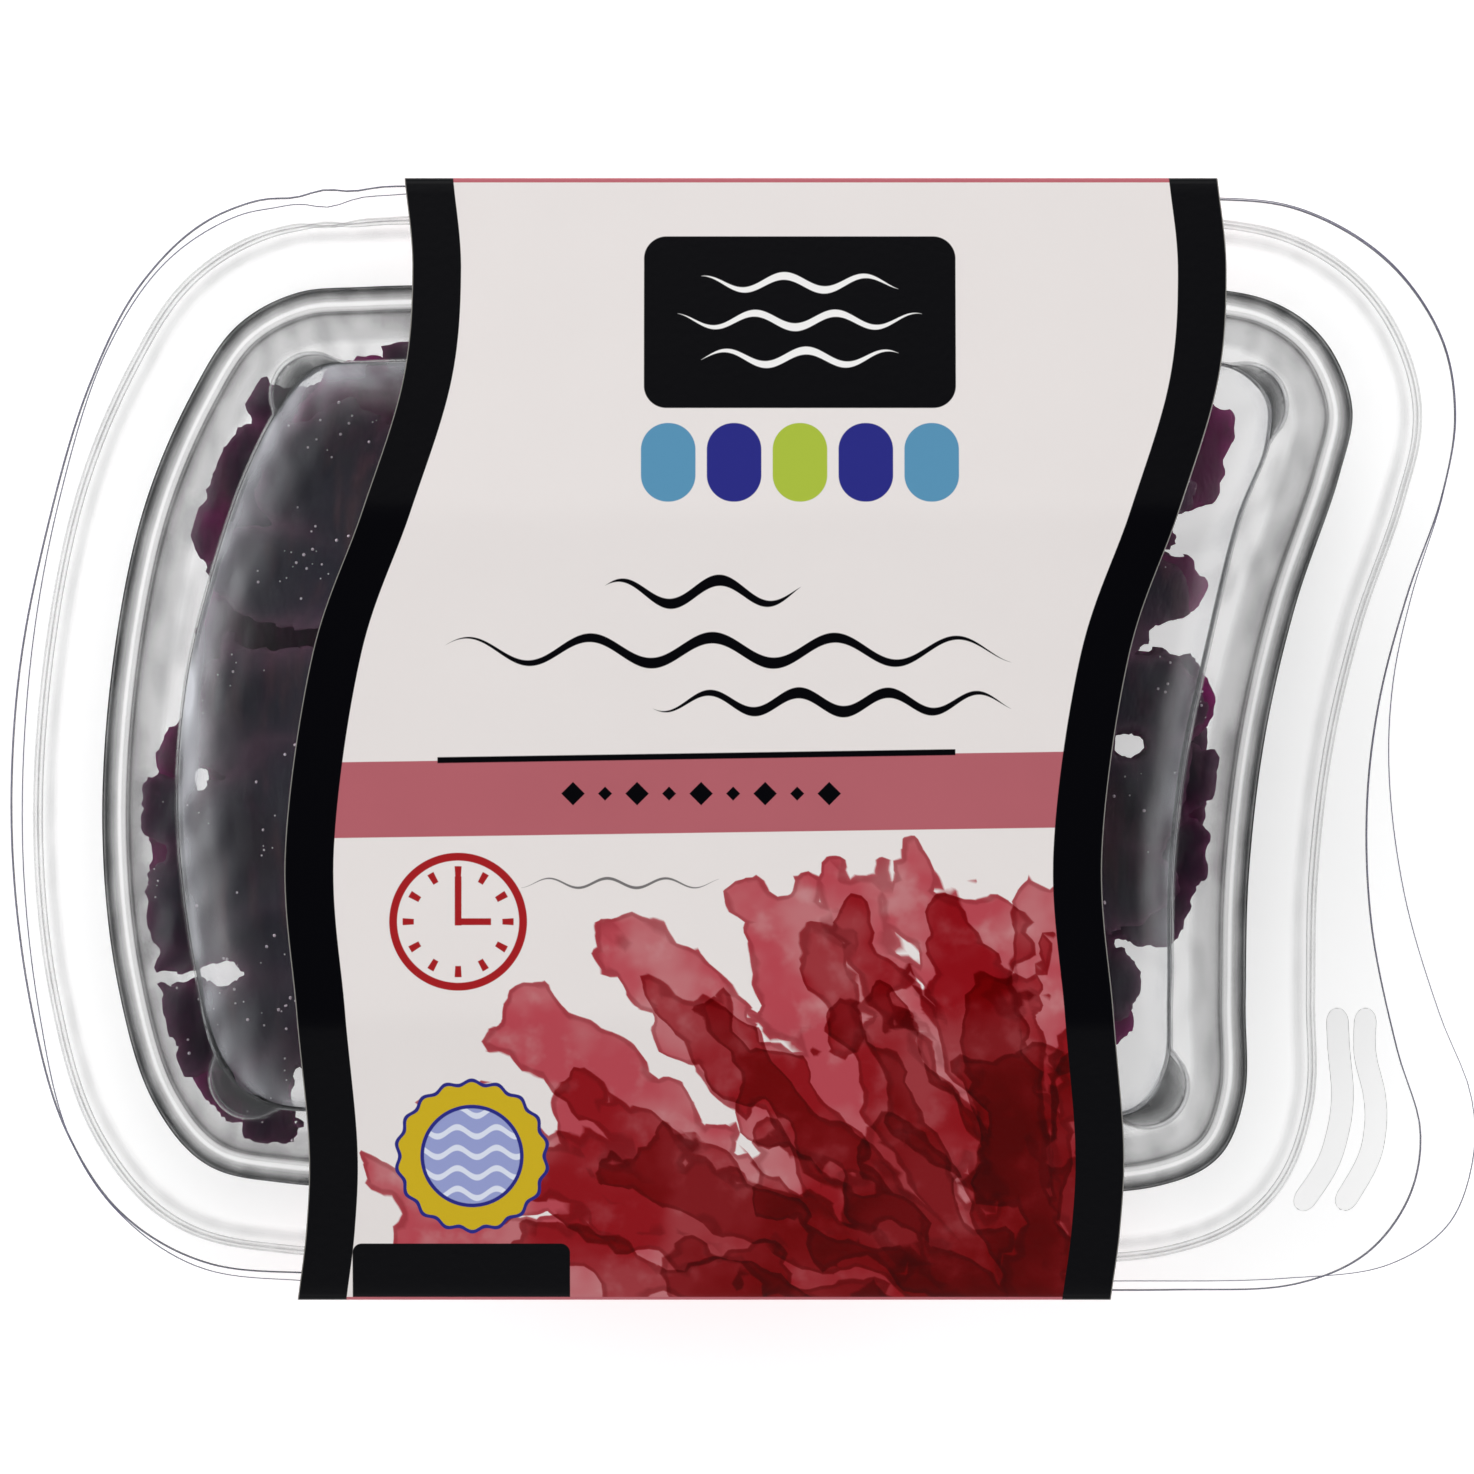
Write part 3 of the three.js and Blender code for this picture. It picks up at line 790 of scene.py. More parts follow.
@dataclass
class Tub:
    """The clear tub, with a step under its mouth and a wide flange with a stiffening bead."""

    floor: float = 1.15
    flange: float = 24.45
    ledge: float = 21.8
    bead_rise: float = 0.8
    finish: ClearSheet = ClearSheet("clear_tub")

    def build(self, rim: Rim) -> bpy.types.Object:
        """Makes the tub.

        Args:
            rim: The directions of its points.

        Returns:
            The piece that stands for the tub's solid.
        """
        raised = self.flange + self.bead_rise
        stations = [
            # The floor, the wall and the step under the mouth, with painted shade and pale painted highlight
            # on the walls.
            rim.mouth(-24.0, self.floor),
            rim.mouth(-6.8, self.floor, 0.0, 0.5),
            rim.mouth(-5.2, self.floor + 0.7, 0.06, 0.2),
            rim.mouth(-4.7, self.floor + 2.2, 0.03, 0.4),
            rim.mouth(-3.2, 12.0, 0.015, 0.5),
            rim.mouth(-1.9, self.ledge - 0.4, 0.06),
            rim.mouth(-1.6, self.ledge, 0.05),
            rim.mouth(-1.2, self.ledge + 0.08),
            rim.mouth(-0.75, self.ledge + 0.12),
            rim.mouth(-0.5, self.ledge + 0.2, 0.18),
            rim.mouth(-0.2, self.ledge + 1.0, 0.34),
            rim.mouth(-0.02, self.flange - 0.35, 0.80),
            rim.mouth(0.12, self.flange - 0.05, 0.80),
            rim.mouth(0.3, self.flange, 0.05),
            # The flange, with its bead, and painted shade lines at the bead's sides.
            rim.mouth(0.5, self.flange),
            rim.mouth(5.3, self.flange),
            rim.mouth(5.7, raised, 0.10),
            rim.mouth(6.4, raised, 0.05),
            rim.mouth(6.8, raised),
            rim.mouth(7.05, raised),
            rim.mouth(7.25, self.flange + 0.4, 0.42),
            rim.mouth(7.45, self.flange),
            rim.mouth(7.8, self.flange),
            rim.edge(TUB_EDGE, self.flange, 0.30),
            rim.edge(TUB_EDGE, self.flange, 0.03),
        ]
        mesh = FormedSheet(rim, -0.25, edge_round=0.22).mesh("tub_sheet", self.floor, stations)
        piece = place_piece("tub_sheet", mesh, self.finish.material())
        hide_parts("tub")
        return piece


@dataclass
class Lid:
    """The clear lid: a plug inside the tub's mouth, a groove, a dome with corner posts, and a pull tab.

    Attributes:
        ledge: The height of the ledge that it sits on.
        posts: Where the corner posts stand.
        crown_x: X of the dome's highest line.
        shoulder: How far inside the dome's line each ring of the shoulder is, and how much painted highlight
            shows there.
        drop_x: How fast the dome falls away along X.
        drop_y: How fast it falls away along Y.
        grips: The spines of the ridges on the pull tab.
        grip_steps: How many steps there are between two of a spine's points.
        grip_sink: How far the ridges' axis lies under the flange's face.
        painted_light_fade: How much weaker the painted shade and highlight are towards the tab.
        smudges_and_glints: Painted glints on the dome, as X, Y and half-widths along each.
        glint_share: How much painted highlight shows in them.
    """

    flange: float = 25.2
    bead_rise: float = 0.8
    ledge: float = 21.8
    groove: float = 20.5
    post_top: float = 24.0
    post_radius: float = 4.6
    posts: tuple[Point, ...] = ((-46.1, 36.9), (53.9, 35.8), (43.3, -37.2), (-52.6, -36.2))
    crown: float = 33.5
    crown_x: float = 5.0
    shoulder: tuple[Point, ...] = (
        (12.0, 0.003), (8.6, 0.006), (6.4, 0.014), (4.6, 0.035), (3.2, 0.085), (2.0, 0.18), (1.2, 0.29),
        (0.75, 0.42), (0.5, 0.30),
    )
    drop_x: float = 0.0012
    drop_y: float = 0.0023
    grips: tuple[tuple[Point, ...], ...] = (
        ((63.5, -28.7), (63.7, -33), (64.1, -38), (63.6, -42), (62.3, -45.8), (59.3, -50.3)),
        ((66.6, -28.7), (66.5, -33.5), (67.5, -38), (67.6, -41.6), (66.7, -45.3), (63.8, -50.3)),
    )
    grip_width: float = 2.4
    grip_rise: float = 0.5
    grip_steps: int = 30
    grip_sink: float = 0.05
    shoulder_drop: float = 3.7
    shoulder_width: float = 2.05
    painted_light_fade: float = 0.62
    smudges_and_glints: tuple[tuple[float, float, float, float], ...] = ((-41.0, 38.8, 2.6, 0.8), (-58.9, 5.0, 0.9, 8.0))
    glint_share: float = 0.4
    finish: ClearSheet = ClearSheet("clear_lid")

    def crown_at(self, x: np.ndarray, y: np.ndarray) -> np.ndarray:
        """Height of the dome's upper face away from its shoulder."""
        return self.crown - self.drop_x * (x - self.crown_x) ** 2 - self.drop_y * y * y

    def painted_light_by_side(self, rim: Rim) -> np.ndarray:
        """How much of the painted shade and highlight shows in each direction, as a share of what shows away
        from the tab.
        """
        return 1.0 - self.painted_light_fade * ease(0.5 + 0.5 * np.cos(rim.angles))

    def on_dome(self, rim: Rim, share: float, inset: float, tint: float) -> Station:
        """A ring on the dome.

        Args:
            rim: The directions of its points.
            share: The share of the dome's line that the ring is at.
            inset: How far inside that it is.
            tint: How much painted shade or highlight shows there.

        Returns:
            The ring.
        """
        reach = reach_of(DOME.line(), rim.angles) * share - inset
        top = self.crown_at(reach * np.cos(rim.angles), reach * np.sin(rim.angles))
        under = self.shoulder_drop * math.exp(-inset / self.shoulder_width) if share == 1.0 else 0.0
        shown = tint * self.painted_light_by_side(rim)
        # Painted glints: pale painted highlight spots on the dome.
        for x, y, half_x, half_y in self.smudges_and_glints:
            aside = (reach * np.cos(rim.angles) - x) / half_x
            along = (reach * np.sin(rim.angles) - y) / half_y
            shown = shown + self.glint_share * np.exp(-aside * aside - along * along)
        # The whole dome is painted as pale highlight rather than dark shade.
        return rim.ring(reach, top - under, shown, 1.0)

    def foot(self, rim: Rim, shrink: float, z: float, tint: float, pale: float) -> Station:
        """A ring round the dome's foot and its corner posts.

        Args:
            rim: The directions of its points.
            shrink: How far inside the foot's line it is.
            z: Its height.
            tint: How much painted shade or highlight shows there.
            pale: How much of that is pale painted highlight rather than dark painted shade.

        Returns:
            The ring.
        """
        reach = reach_of(DOME.line(), rim.angles) - min(shrink, 0.3)
        radius = self.post_radius - shrink
        for x, y in self.posts:
            along = x * np.cos(rim.angles) + y * np.sin(rim.angles)
            aside = x * np.sin(rim.angles) - y * np.cos(rim.angles)
            hit = (along > 0.0) & (np.abs(aside) < radius)
            post = along + np.sqrt(np.maximum(radius**2 - aside**2, 0.0))
            reach = np.where(hit, np.maximum(reach, post), reach)
        return rim.ring(reach, z, tint, pale)

    def build(self, rim: Rim) -> bpy.types.Object:
        """Makes the lid.

        Args:
            rim: The directions of its points.

        Returns:
            The piece that stands for the lid's solid.
        """
        painted_light_side = self.painted_light_by_side(rim)
        wall = self.foot(rim, -0.4, self.groove, 0.03 * painted_light_side, 0.6 * painted_light_side)
        plug = rim.mouth(-3.9, self.groove, 0.045 * painted_light_side, 0.6 * painted_light_side)
        raised = self.flange + self.bead_rise
        stations = [
            # The dome and its shoulder, with a pale painted highlight along the shoulder.
            *(self.on_dome(rim, share, 0.0, 0.002) for share in (0.25, 0.5, 0.62, 0.72)),
            *(self.on_dome(rim, 1.0, inset, tint) for inset, tint in self.shoulder),
            # The corner posts, and the wall down to the groove, with dark painted shade on the steep walls.
            rim.ring(reach_of(DOME.line(), rim.angles) - 0.38, self.post_top + 0.25, 0.66, 0.0),
            self.foot(rim, 2.6, self.post_top, 0.80, 0.0),
            self.foot(rim, 1.7, self.post_top, 0.66, 0.0),
            self.foot(rim, 0.4, self.post_top, 0.36, 0.1),
            self.foot(rim, 0.22, self.post_top - 0.2, 0.34, 0.7),
            self.foot(rim, 0.1, self.post_top - 1.0, 0.36, 0.0),
            self.foot(rim, -0.1, self.groove, 0.05, 0.2),
            # The groove's floor, the plug's wall and the ledge, with painted shade lines on the walls.
            *(wall + (plug - wall) * share for share in (0.0, 0.2, 0.4, 0.6, 0.8, 1.0)),
            rim.mouth(-3.0, self.groove + 0.3, 0.07, 0.2),
            rim.mouth(-2.6, self.ledge, 0.16, 0.0),
            rim.mouth(-2.38, self.ledge + 0.55, 0.72, 0.0),
            rim.mouth(-2.2, self.ledge + 0.66, 0.10),
            rim.mouth(-2.0, self.ledge + 0.7),
            rim.mouth(-1.3, self.ledge + 0.82, 0.03),
            rim.mouth(-1.1, self.ledge + 0.88, 0.20),
            rim.mouth(-0.7, self.flange - 0.55, 0.38),
            rim.mouth(-0.1, self.flange, 0.46),
            # The flange, with its bead, and painted shade lines at the bead's sides.
            rim.mouth(0.15, self.flange),
            rim.mouth(4.9, self.flange),
            rim.mouth(5.3, raised, 0.09),
            rim.mouth(6.2, raised, 0.05),
            rim.mouth(6.8, raised),
            rim.mouth(7.45, raised),
            rim.mouth(7.65, self.flange + 0.4, 0.40),
            rim.mouth(7.85, self.flange),
            rim.mouth(8.15, self.flange),
            rim.edge(LID_EDGE, self.flange, 0.26),
            rim.edge(LID_EDGE, self.flange, 0.03),
        ]
        middle = float(self.crown_at(np.zeros(1), np.zeros(1))[0])
        mesh = FormedSheet(rim, 0.25, edge_round=0.12).mesh("lid_sheet", middle, stations)
        material = self.finish.material()
        piece = place_piece("lid_sheet", mesh, material)
        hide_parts("lid")
        self.build_grips(ClearSheet("clear_grips", painted_sheen=0.0, steep=0.0, shine=0.0, glint=0.05).material())
        return piece

    def build_grips(self, material: bpy.types.Material) -> bpy.types.Object:
        """Makes the two raised ridges on the pull tab, each swept along its line.

        Args:
            material: The lid's finish.

        Returns:
            The piece.
        """
        curve = bpy.data.curves.new("grip_lines", "CURVE")
        curve.dimensions = "3D"
        for spine in self.grips:
            spline = curve.splines.new("POLY")
            fine = open_curve(spine, self.grip_steps)
            spline.points.add(len(fine) - 1)
            for point, (x, y) in zip(spline.points, fine):
                point.co = (x * MM, y * MM, (self.flange - self.grip_sink) * MM, 1.0)
        lines = bpy.data.objects.new("grip_lines", curve)
        bpy.context.scene.collection.objects.link(lines)
        draft = Draft("grip_ridges", {"Width": self.grip_width * MM, "Rise": self.grip_rise * MM})
        along = draft.make("GeometryNodeSplineParameter", output="Factor")
        near_end = (along.smaller(1.0 - along) * 14.0).smaller(1.0)
        swell = (near_end * (2.0 - near_end)).math("SQRT")
        ring = draft.make(
            "GeometryNodeCurvePrimitiveCircle", values={"Resolution": 20, "Radius": 0.5}, output="Curve"
        )
        scale = draft.make(
            "ShaderNodeCombineXYZ",
            values={0: draft.start.of("Width"), 1: draft.start.of("Rise") * 2.0, 2: 1.0},
        )
        oval = draft.make("GeometryNodeTransform", values={"Geometry": ring, "Scale": scale})
        swept = draft.make(
            "GeometryNodeCurveToMesh",
            values={
                "Curve": draft.start.of("Geometry"),
                "Profile Curve": oval,
                "Scale": swell,
                "Fill Caps": True,
            },
        )
        mesh = draft.mesh_of(lines, swept, material)
        bpy.data.objects.remove(lines)
        mesh.polygons.foreach_set("use_smooth", np.ones(len(mesh.polygons), bool))
        # Dark painted shade along the ridges' sides, where they turn away from the top, stands in for their
        # outlines.
        level = np.array([abs(normal.vector.z) for normal in mesh.vertex_normals])
        add_numbers(mesh, "tint", 0.75 * ease((0.62 - level) / 0.45))
        return place_piece("lid_grips", mesh, material)


def open_curve(points: Sequence[Point], steps: int) -> np.ndarray:
    """A smooth open line through points.

    Args:
        points: The points that it passes through.
        steps: How many steps there are between two of them.

    Returns:
        An array of X and Y.
    """
    given = np.array(points, float)
    padded = np.vstack([2 * given[0] - given[1], given, 2 * given[-1] - given[-2]])
    made = []
    for a, b, c, d in zip(padded, padded[1:], padded[2:], padded[3:]):
        curving, twisting = 2 * a - 5 * b + 4 * c - d, 3 * b - a - 3 * c + d
        for t in np.arange(steps) / steps:
            made.append(0.5 * (2 * b + (c - a) * t + curving * t * t + twisting * t**3))
    made.append(given[-1])
    return np.array(made)


@dataclass(frozen=True)
class Strap:
    """A tapering strap with a round end, seen from above: a lobe of a frond.

    Attributes:
        foot: Where it starts.
        tip: Where it ends.
        width: Its width near the tip.
        bow: How far its middle stands aside, as a share of its length.
        narrow: Its width at the foot as a share of that near the tip.
        legs: How many straight pieces it is made of.
        tip_share: How far before the tip its last piece ends, as a share of its width.
    """

    foot: Point
    tip: Point
    width: float
    bow: float = 0.0
    narrow: float = 0.45
    legs: int = 9
    tip_share: float = 0.42

    def distance(self, x: np.ndarray, y: np.ndarray) -> np.ndarray:
        """How far points are outside the strap.

        Args:
            x: Their X.
            y: Their Y.

        Returns:
            The distances, negative inside.
        """
        foot, tip = np.array(self.foot), np.array(self.tip)
        span = tip - foot
        end = tip - span / np.linalg.norm(span) * self.width * self.tip_share
        aside = np.array([-span[1], span[0]]) * self.bow
        middle = 0.5 * (foot + end) + aside
        nearest = np.full(x.shape, 1e9)
        before, wide_before = foot, 0.5 * self.width * self.narrow
        for leg_end in range(1, self.legs + 1):
            t = leg_end / self.legs
            here = (1 - t) ** 2 * foot + 2 * t * (1 - t) * middle + t * t * end
            wide = 0.5 * self.width * (self.narrow + (1.0 - self.narrow) * math.sqrt(t))
            leg = here - before
            share = np.clip(((x - before[0]) * leg[0] + (y - before[1]) * leg[1]) / (leg @ leg), 0.0, 1.0)
            away = np.hypot(x - before[0] - share * leg[0], y - before[1] - share * leg[1])
            nearest = np.minimum(nearest, away - (wide_before + share * (wide - wide_before)))
            before, wide_before = here, wide
        return nearest


def joined(distances: Sequence[np.ndarray], web: float) -> np.ndarray:
    """Distance to several shapes joined by a small web where they meet.

    Args:
        distances: The distance to each shape.
        web: The web's size.

    Returns:
        The distance to all of them together.
    """
    stack = np.stack(distances)
    low = stack.min(axis=0)
    return low - web * np.log(np.exp(-(stack - low) / web).sum(axis=0))


@dataclass(frozen=True)
class DulseSkin:
    """Finish of a damp salted frond: dark plum, glossy, and magenta where light comes through, with a
    painted highlight along its margins.
    """

    navy: Triple = (0.007, 0.008, 0.018)
    dark: Triple = (0.013, 0.005, 0.008)
    plum: Triple = (0.040, 0.013, 0.034)
    wine: Triple = (0.066, 0.030, 0.036)
    through: Triple = (0.56, 0.13, 0.41)
    # Colour of the painted highlight along the blades' margins.
    margin: Triple = (0.16, 0.08, 0.13)
    thin: float = 0.56

    def material(self) -> bpy.types.Material:
        """Makes the finish.

        Returns:
            The material.
        """
        paint = Paint("dulse_skin")
        tone = paint.attribute("tone")
        margin = paint.attribute("margin")
        cloud = paint.noise(110.0, 2.0)
        streak = paint.noise(420.0, 3.0, (1.0, 0.16, 1.0))
        shade = (cloud * 2.6 + streak * 1.3 + tone * 0.8 - 1.8).clipped()
        color = paint.blend(shade, paint.blend(tone.ramp(-0.4, 0.4), self.navy, self.dark), self.plum)
        color = paint.blend(streak.ramp(0.5, 0.75) * 0.6, color, self.wine)
        # Lighter margins: a painted highlight along the blades' thin edges, standing in for light coming
        # through them.
        color = paint.blend(margin * 0.6, color, self.margin)
        wrinkles = paint.noise(520.0, 2.0, (1.0, 0.5, 1.0))
        normal = paint.bump(wrinkles, 0.8, 0.5)
        skin = paint.make(
            "ShaderNodeBsdfPrincipled",
            values={
                "Base Color": color,
                "Roughness": streak.ramp(0.2, 0.8, 0.42, 0.62),
                "Specular IOR Level": 0.2,
                "Normal": normal,
            },
        )
        glow = paint.make(
            "ShaderNodeBsdfTranslucent", values={"Color": rgba(self.through), "Normal": normal}
        )
        share = shade.ramp(0.0, 0.9, self.thin * 0.3, self.thin) + margin * 0.2
        return paint.finish(paint.make("ShaderNodeMixShader", values={0: share, 1: skin, 2: glow}))


@dataclass(frozen=True)
class Frond:
    """One forked blade of dulse.

    Attributes:
        foot: Where its lobes spring from.
        lobes: Each lobe's tip, as X, Y, its width and its bow.
    """

    foot: Point
    lobes: tuple[tuple[float, float, float, float], ...]

    def distance(self, x: np.ndarray, y: np.ndarray) -> np.ndarray:
        """How far each point is outside the blade, negative inside."""
        straps = [Strap(self.foot, (tx, ty), width, bow) for tx, ty, width, bow in self.lobes]
        return joined([strap.distance(x, y) for strap in straps], 0.9)


@dataclass
class Heap:
    """The fronds, laid on each other in layers that never cross.

    Attributes:
        lid: The lid whose dome the heap rises under.
        bottom: Height of the lowest layer.
        rim: Height of the top layer under the lid's groove.
        rise: How much higher it is under the dome.
        shoulder: The width over which it rises.
        thickness: A frond's thickness.
        cell: The spacing of a frond's points.
        draft: How fast the tub's walls close in downwards.
        span: The lowest and highest X and Y that a frond may reach.
        swell: Height of the heap's slow waves.
        curl: Height of a frond's own waves.
        ruffle: Height of the ruffle along its margin.
        ruffle_width: How far in that reaches.
        wander: How far its margin wanders.
        jag: The size of the finest jags in its margin.
        tones: How light each layer is.
        gaps: Bare places, as X, Y and half-widths along each.
    """

    lid: Lid
    bottom: float = 2.05
    rim: float = 18.7
    rise: float = 9.5
    shoulder: float = 18.0
    thickness: float = 0.36
    cell: float = 0.5
    draft: float = 0.155
    span: tuple[float, float, float, float] = (-66.0, 58.0, -46.5, 46.5)
    swell: float = 0.8
    curl: float = 0.42
    ruffle: float = 0.5
    ruffle_width: float = 2.6
    wander: float = 0.9
    jag: float = 0.13
    finish: DulseSkin = DulseSkin()
    tones: tuple[float, ...] = (0.1, 0.3, -0.2, -0.1, -0.3, 0.9, 0.55, -0.5, -0.5, -0.25)
    gaps: tuple[tuple[float, float, float, float], ...] = (
        (-58.4, -4.4, 1.0, 1.5), (-56.2, -25.3, 2.4, 1.5), (-60.6, -25.7, 3.4, 0.6),
        (-47.4, -38.4, 1.3, 3.4), (-41.0, -44.4, 8.0, 4.2), (-64.2, 9.0, 5.4, 9.2),
        (-62.4, 16.0, 5.0, 6.2), (-48.6, 40.8, 3.8, 3.0), (-64.5, 35.5, 8.6, 12.5),
        (-46.5, 46.6, 7.6, 4.8), (50.4, 22.8, 4.6, 1.7), (48.0, 11.0, 4.6, 2.1),
        (41.6, -0.6, 1.8, 1.5), (50.4, -32.5, 8.4, 9.6), (54.5, 14.0, 4.4, 9.5),
        (53.6, -18.0, 3.4, 6.0),
    )
    fronds: tuple[Frond, ...] = (
        Frond((-8, 0), (
            (-46, 30, 14, 0.08), (-57, 9, 16, -0.05), (-58.5, -11, 17, 0.06), (-58, -31, 15, -0.06),
            (-40, -37, 14, 0.1),
        )),
        Frond((10, -2), (
            (42, 30, 12, 0.08), (28, 40, 12, 0.05), (46, 6, 12, -0.06), (44, -15, 12, 0.05),
            (28, -35, 13, 0.08),
        )),
        Frond((-14, -2), (
            (-37.0, 44.5, 8, 0.1), (-56, 15, 16, 0.06), (-63.6, -5, 13, -0.05), (-63, -20, 14, 0.06),
            (-52, -43, 14, -0.1),
        )),
        Frond((8, 0), (
            (43, 32, 11, -0.07), (47, 17.2, 9, 0.04), (50, -3, 11, 0.04), (50, -10, 12, -0.04),
            (22, -38, 14, 0.06),
        )),
        Frond((-10, 8), (
            (-52.5, 38.8, 6.5, 0.05), (-57, 30.5, 8.5, -0.04), (-60.5, 23, 9, 0.03), (-59.5, 4, 18, -0.05),
            (-64.4, -9, 13, 0.04), (-63, -33, 13, -0.06),
        )),
        Frond((14, 6), (
            (51.0, 34.5, 13, 0.05), (48.6, 17.3, 8, -0.03), (49.6, 4, 10, 0.03), (51.5, -9, 9, -0.04),
            (45, -20, 9, 0.03), (40.5, -32, 5.5, 0.06),
        )),
        Frond((-12, -6), (
            (-44, 38, 15, 0.06), (-58.8, 15, 14, 0.05), (-61, -3, 17, -0.04), (-63.4, -15, 13, 0.05),
            (-60, -38, 13, -0.05), (-48, -42, 12, 0.08),
        )),
        Frond((10, -4), (
            (43, 34, 10, 0.06), (48.4, 7, 9, -0.05), (50.8, -3, 8, 0.03), (50.5, -13, 8, 0.04),
            (46.6, -20, 8, -0.03), (41, -28, 6, 0.05),
        )),
        Frond((-14, 6), (
            (-49, 33, 15, 0.07), (-56.5, 19, 10, -0.12), (-58.5, 4, 12, 0.05), (-58.5, -13, 11, -0.06),
            (-64.4, -9, 8, 0.04), (-63.9, -20, 10, -0.03), (-62.5, -33, 15, 0.04), (-51, -43.5, 13, 0.05),
        )),
        Frond((12, 4), (
            (46, 27, 10, 0.05), (47.2, 16, 8, 0.03), (48, 4, 10, -0.04), (47.5, -7, 12, 0.05),
            (44.5, -18, 9, -0.05),
        )),
    )

    def height(self, share: float, x: np.ndarray, y: np.ndarray) -> np.ndarray:
        """Height of a layer's middle.

        Args:
            share: The layer's place, from 0 on the floor to 1 at the top of the heap.
            x: X of the points.
            y: Y of the points.

        Returns:
            The height at each point.
        """
        angle = np.arctan2(y, x)
        inside = reach_of(DOME.line(), angle) - np.hypot(x, y)
        top = self.rim + self.rise * ease(inside / self.shoulder)
        ripple = self.swell * np.sin(x / 9.0 + 0.6) * np.cos(y / 11.0) * ease((inside + 4.0) / 12.0)
        return self.bottom + share * (top - self.bottom) + ripple * min(1.0, 3.0 * share)

    def limit(self, share: float, x: np.ndarray, y: np.ndarray) -> np.ndarray:
        """How far points are outside the room that the tub's wall leaves to a layer.

        Args:
            share: The layer's place in the heap.
            x: X of the points.
            y: Y of the points.

        Returns:
            The distances, negative inside.
        """
        lowest = self.bottom + share * (self.rim - self.bottom)
        inset = 2.05 + self.draft * (self.lid.ledge - lowest) + (2.4 if share < 0.12 else 0.55)
        return np.hypot(x, y) - reach_of(MOUTH.moved(-inset), np.arctan2(y, x))

    def bare(self, x: np.ndarray, y: np.ndarray) -> np.ndarray:
        """How deep points are inside the nearest bare place.

        Args:
            x: X of the points.
            y: Y of the points.

        Returns:
            The depths, negative outside.
        """
        deepest = np.full(x.shape, -1e9)
        for cx, cy, half_x, half_y in self.gaps:
            away = np.sqrt(((x - cx) / half_x) ** 2 + ((y - cy) / half_y) ** 2)
            deepest = np.maximum(deepest, (1.0 - away) * min(half_x, half_y))
        return deepest

    def jags(self, seed: int, finer_seed: int, x: np.ndarray, y: np.ndarray) -> np.ndarray:
        """How far the small jags of a margin move it."""
        return 2.0 * self.jag * Ripple(3.4, seed).at(x, y) + self.jag * Ripple(1.5, finer_seed).at(x, y)

    def outline(
        self, layer: int, x: np.ndarray, y: np.ndarray
    ) -> tuple[np.ndarray, np.ndarray, np.ndarray]:
        """How far points are outside a frond.

        Args:
            layer: Its place in the heap.
            x: X of the points.
            y: Y of the points.

        Returns:
            The distances, negative inside, and how fast they change along X and along Y.
        """
        share = layer / (len(self.fronds) - 1)
        fine_x = self.jags(60 + layer, 70 + layer, x, y)
        fine_y = self.jags(90 + layer, 100 + layer, x, y)
        warp_x = fine_x + self.wander * Ripple(11.0, 40 + layer).at(x, y)
        warp_y = fine_y + self.wander * Ripple(11.0, 80 + layer).at(x, y)
        torn = np.maximum(0.1 + fine_x + fine_y, 0.0)

        def outside(px: np.ndarray, py: np.ndarray) -> np.ndarray:
            """Distance outside the frond."""
            blade = self.fronds[layer].distance(px + warp_x, py + warp_y)
            room = np.maximum(self.limit(share, px, py) + torn, self.bare(px + fine_x, py + fine_y))
            return np.maximum(blade, room)

        nudge = 0.1
        gap = outside(x, y)
        return gap, (outside(x + nudge, y) - gap) / nudge, (outside(x, y + nudge) - gap) / nudge

    def sheet(self, layer: int) -> tuple[np.ndarray, list, np.ndarray]:
        """One frond's points and faces.

        Args:
            layer: Its place in the heap, from the floor up.

        Returns:
            The points in millimetres, the faces, and each point's distance from the margin.
        """
        left, right, near, far = self.span
        x, y = np.meshgrid(np.arange(left, right, self.cell), np.arange(near, far, self.cell))
        gap, slope_x, slope_y = self.outline(layer, x, y)
        middle = 0.25 * (gap[:-1, :-1] + gap[1:, :-1] + gap[:-1, 1:] + gap[1:, 1:])
        kept = largest_patch(middle < 0.0)
        used, border = points_of(kept)
        steep = np.maximum(slope_x**2 + slope_y**2, 0.3)
        shift = np.clip(-gap, -0.6 * self.cell, 0.6 * self.cell) * border
        x = x + shift * slope_x / steep
        y = y + shift * slope_y / steep
        margin = np.clip(-gap, 0.0, 20.0)
        z = self.height(layer / (len(self.fronds) - 1), x, y)
        z += self.curl * Ripple(15.0, 120 + layer).at(x, y)
        z += self.ruffle * np.exp(-margin / self.ruffle_width) * Ripple(6.5, 140 + layer).at(x, y)
        z = np.maximum(z, self.bottom - 0.2)
        half = 0.5 * self.thickness * (1.0 - 0.5 * np.exp(-margin / 0.4))
        top = np.stack([x, y, z + half], axis=2)[used]
        low = np.stack([x, y, z - half], axis=2)[used]
        return np.concatenate([top, low]), sheet_faces(kept, used), np.tile(margin[used], 2)

    def build(self) -> list[bpy.types.Object]:
        """Makes every frond.

        Returns:
            The pieces that stand for the fronds' solids, from the floor up.
        """
        material = self.finish.material()
        pieces = []
        for layer in range(len(self.fronds)):
            vertices, faces, margin = self.sheet(layer)
            name = f"dulse_{layer + 1:02d}"
            mesh = mesh_from(name, vertices, faces)
            tone = self.tones[layer] + 0.3 * Ripple(20.0, 160 + layer).at(vertices[:, 0], vertices[:, 1])
            add_numbers(mesh, "tone", tone)
            add_numbers(mesh, "margin", np.exp(-margin / 0.9))
            piece = place_piece(name, mesh, material)
            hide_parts(f"frond_{layer + 1:02d}")
            pieces.append(piece)
        return pieces


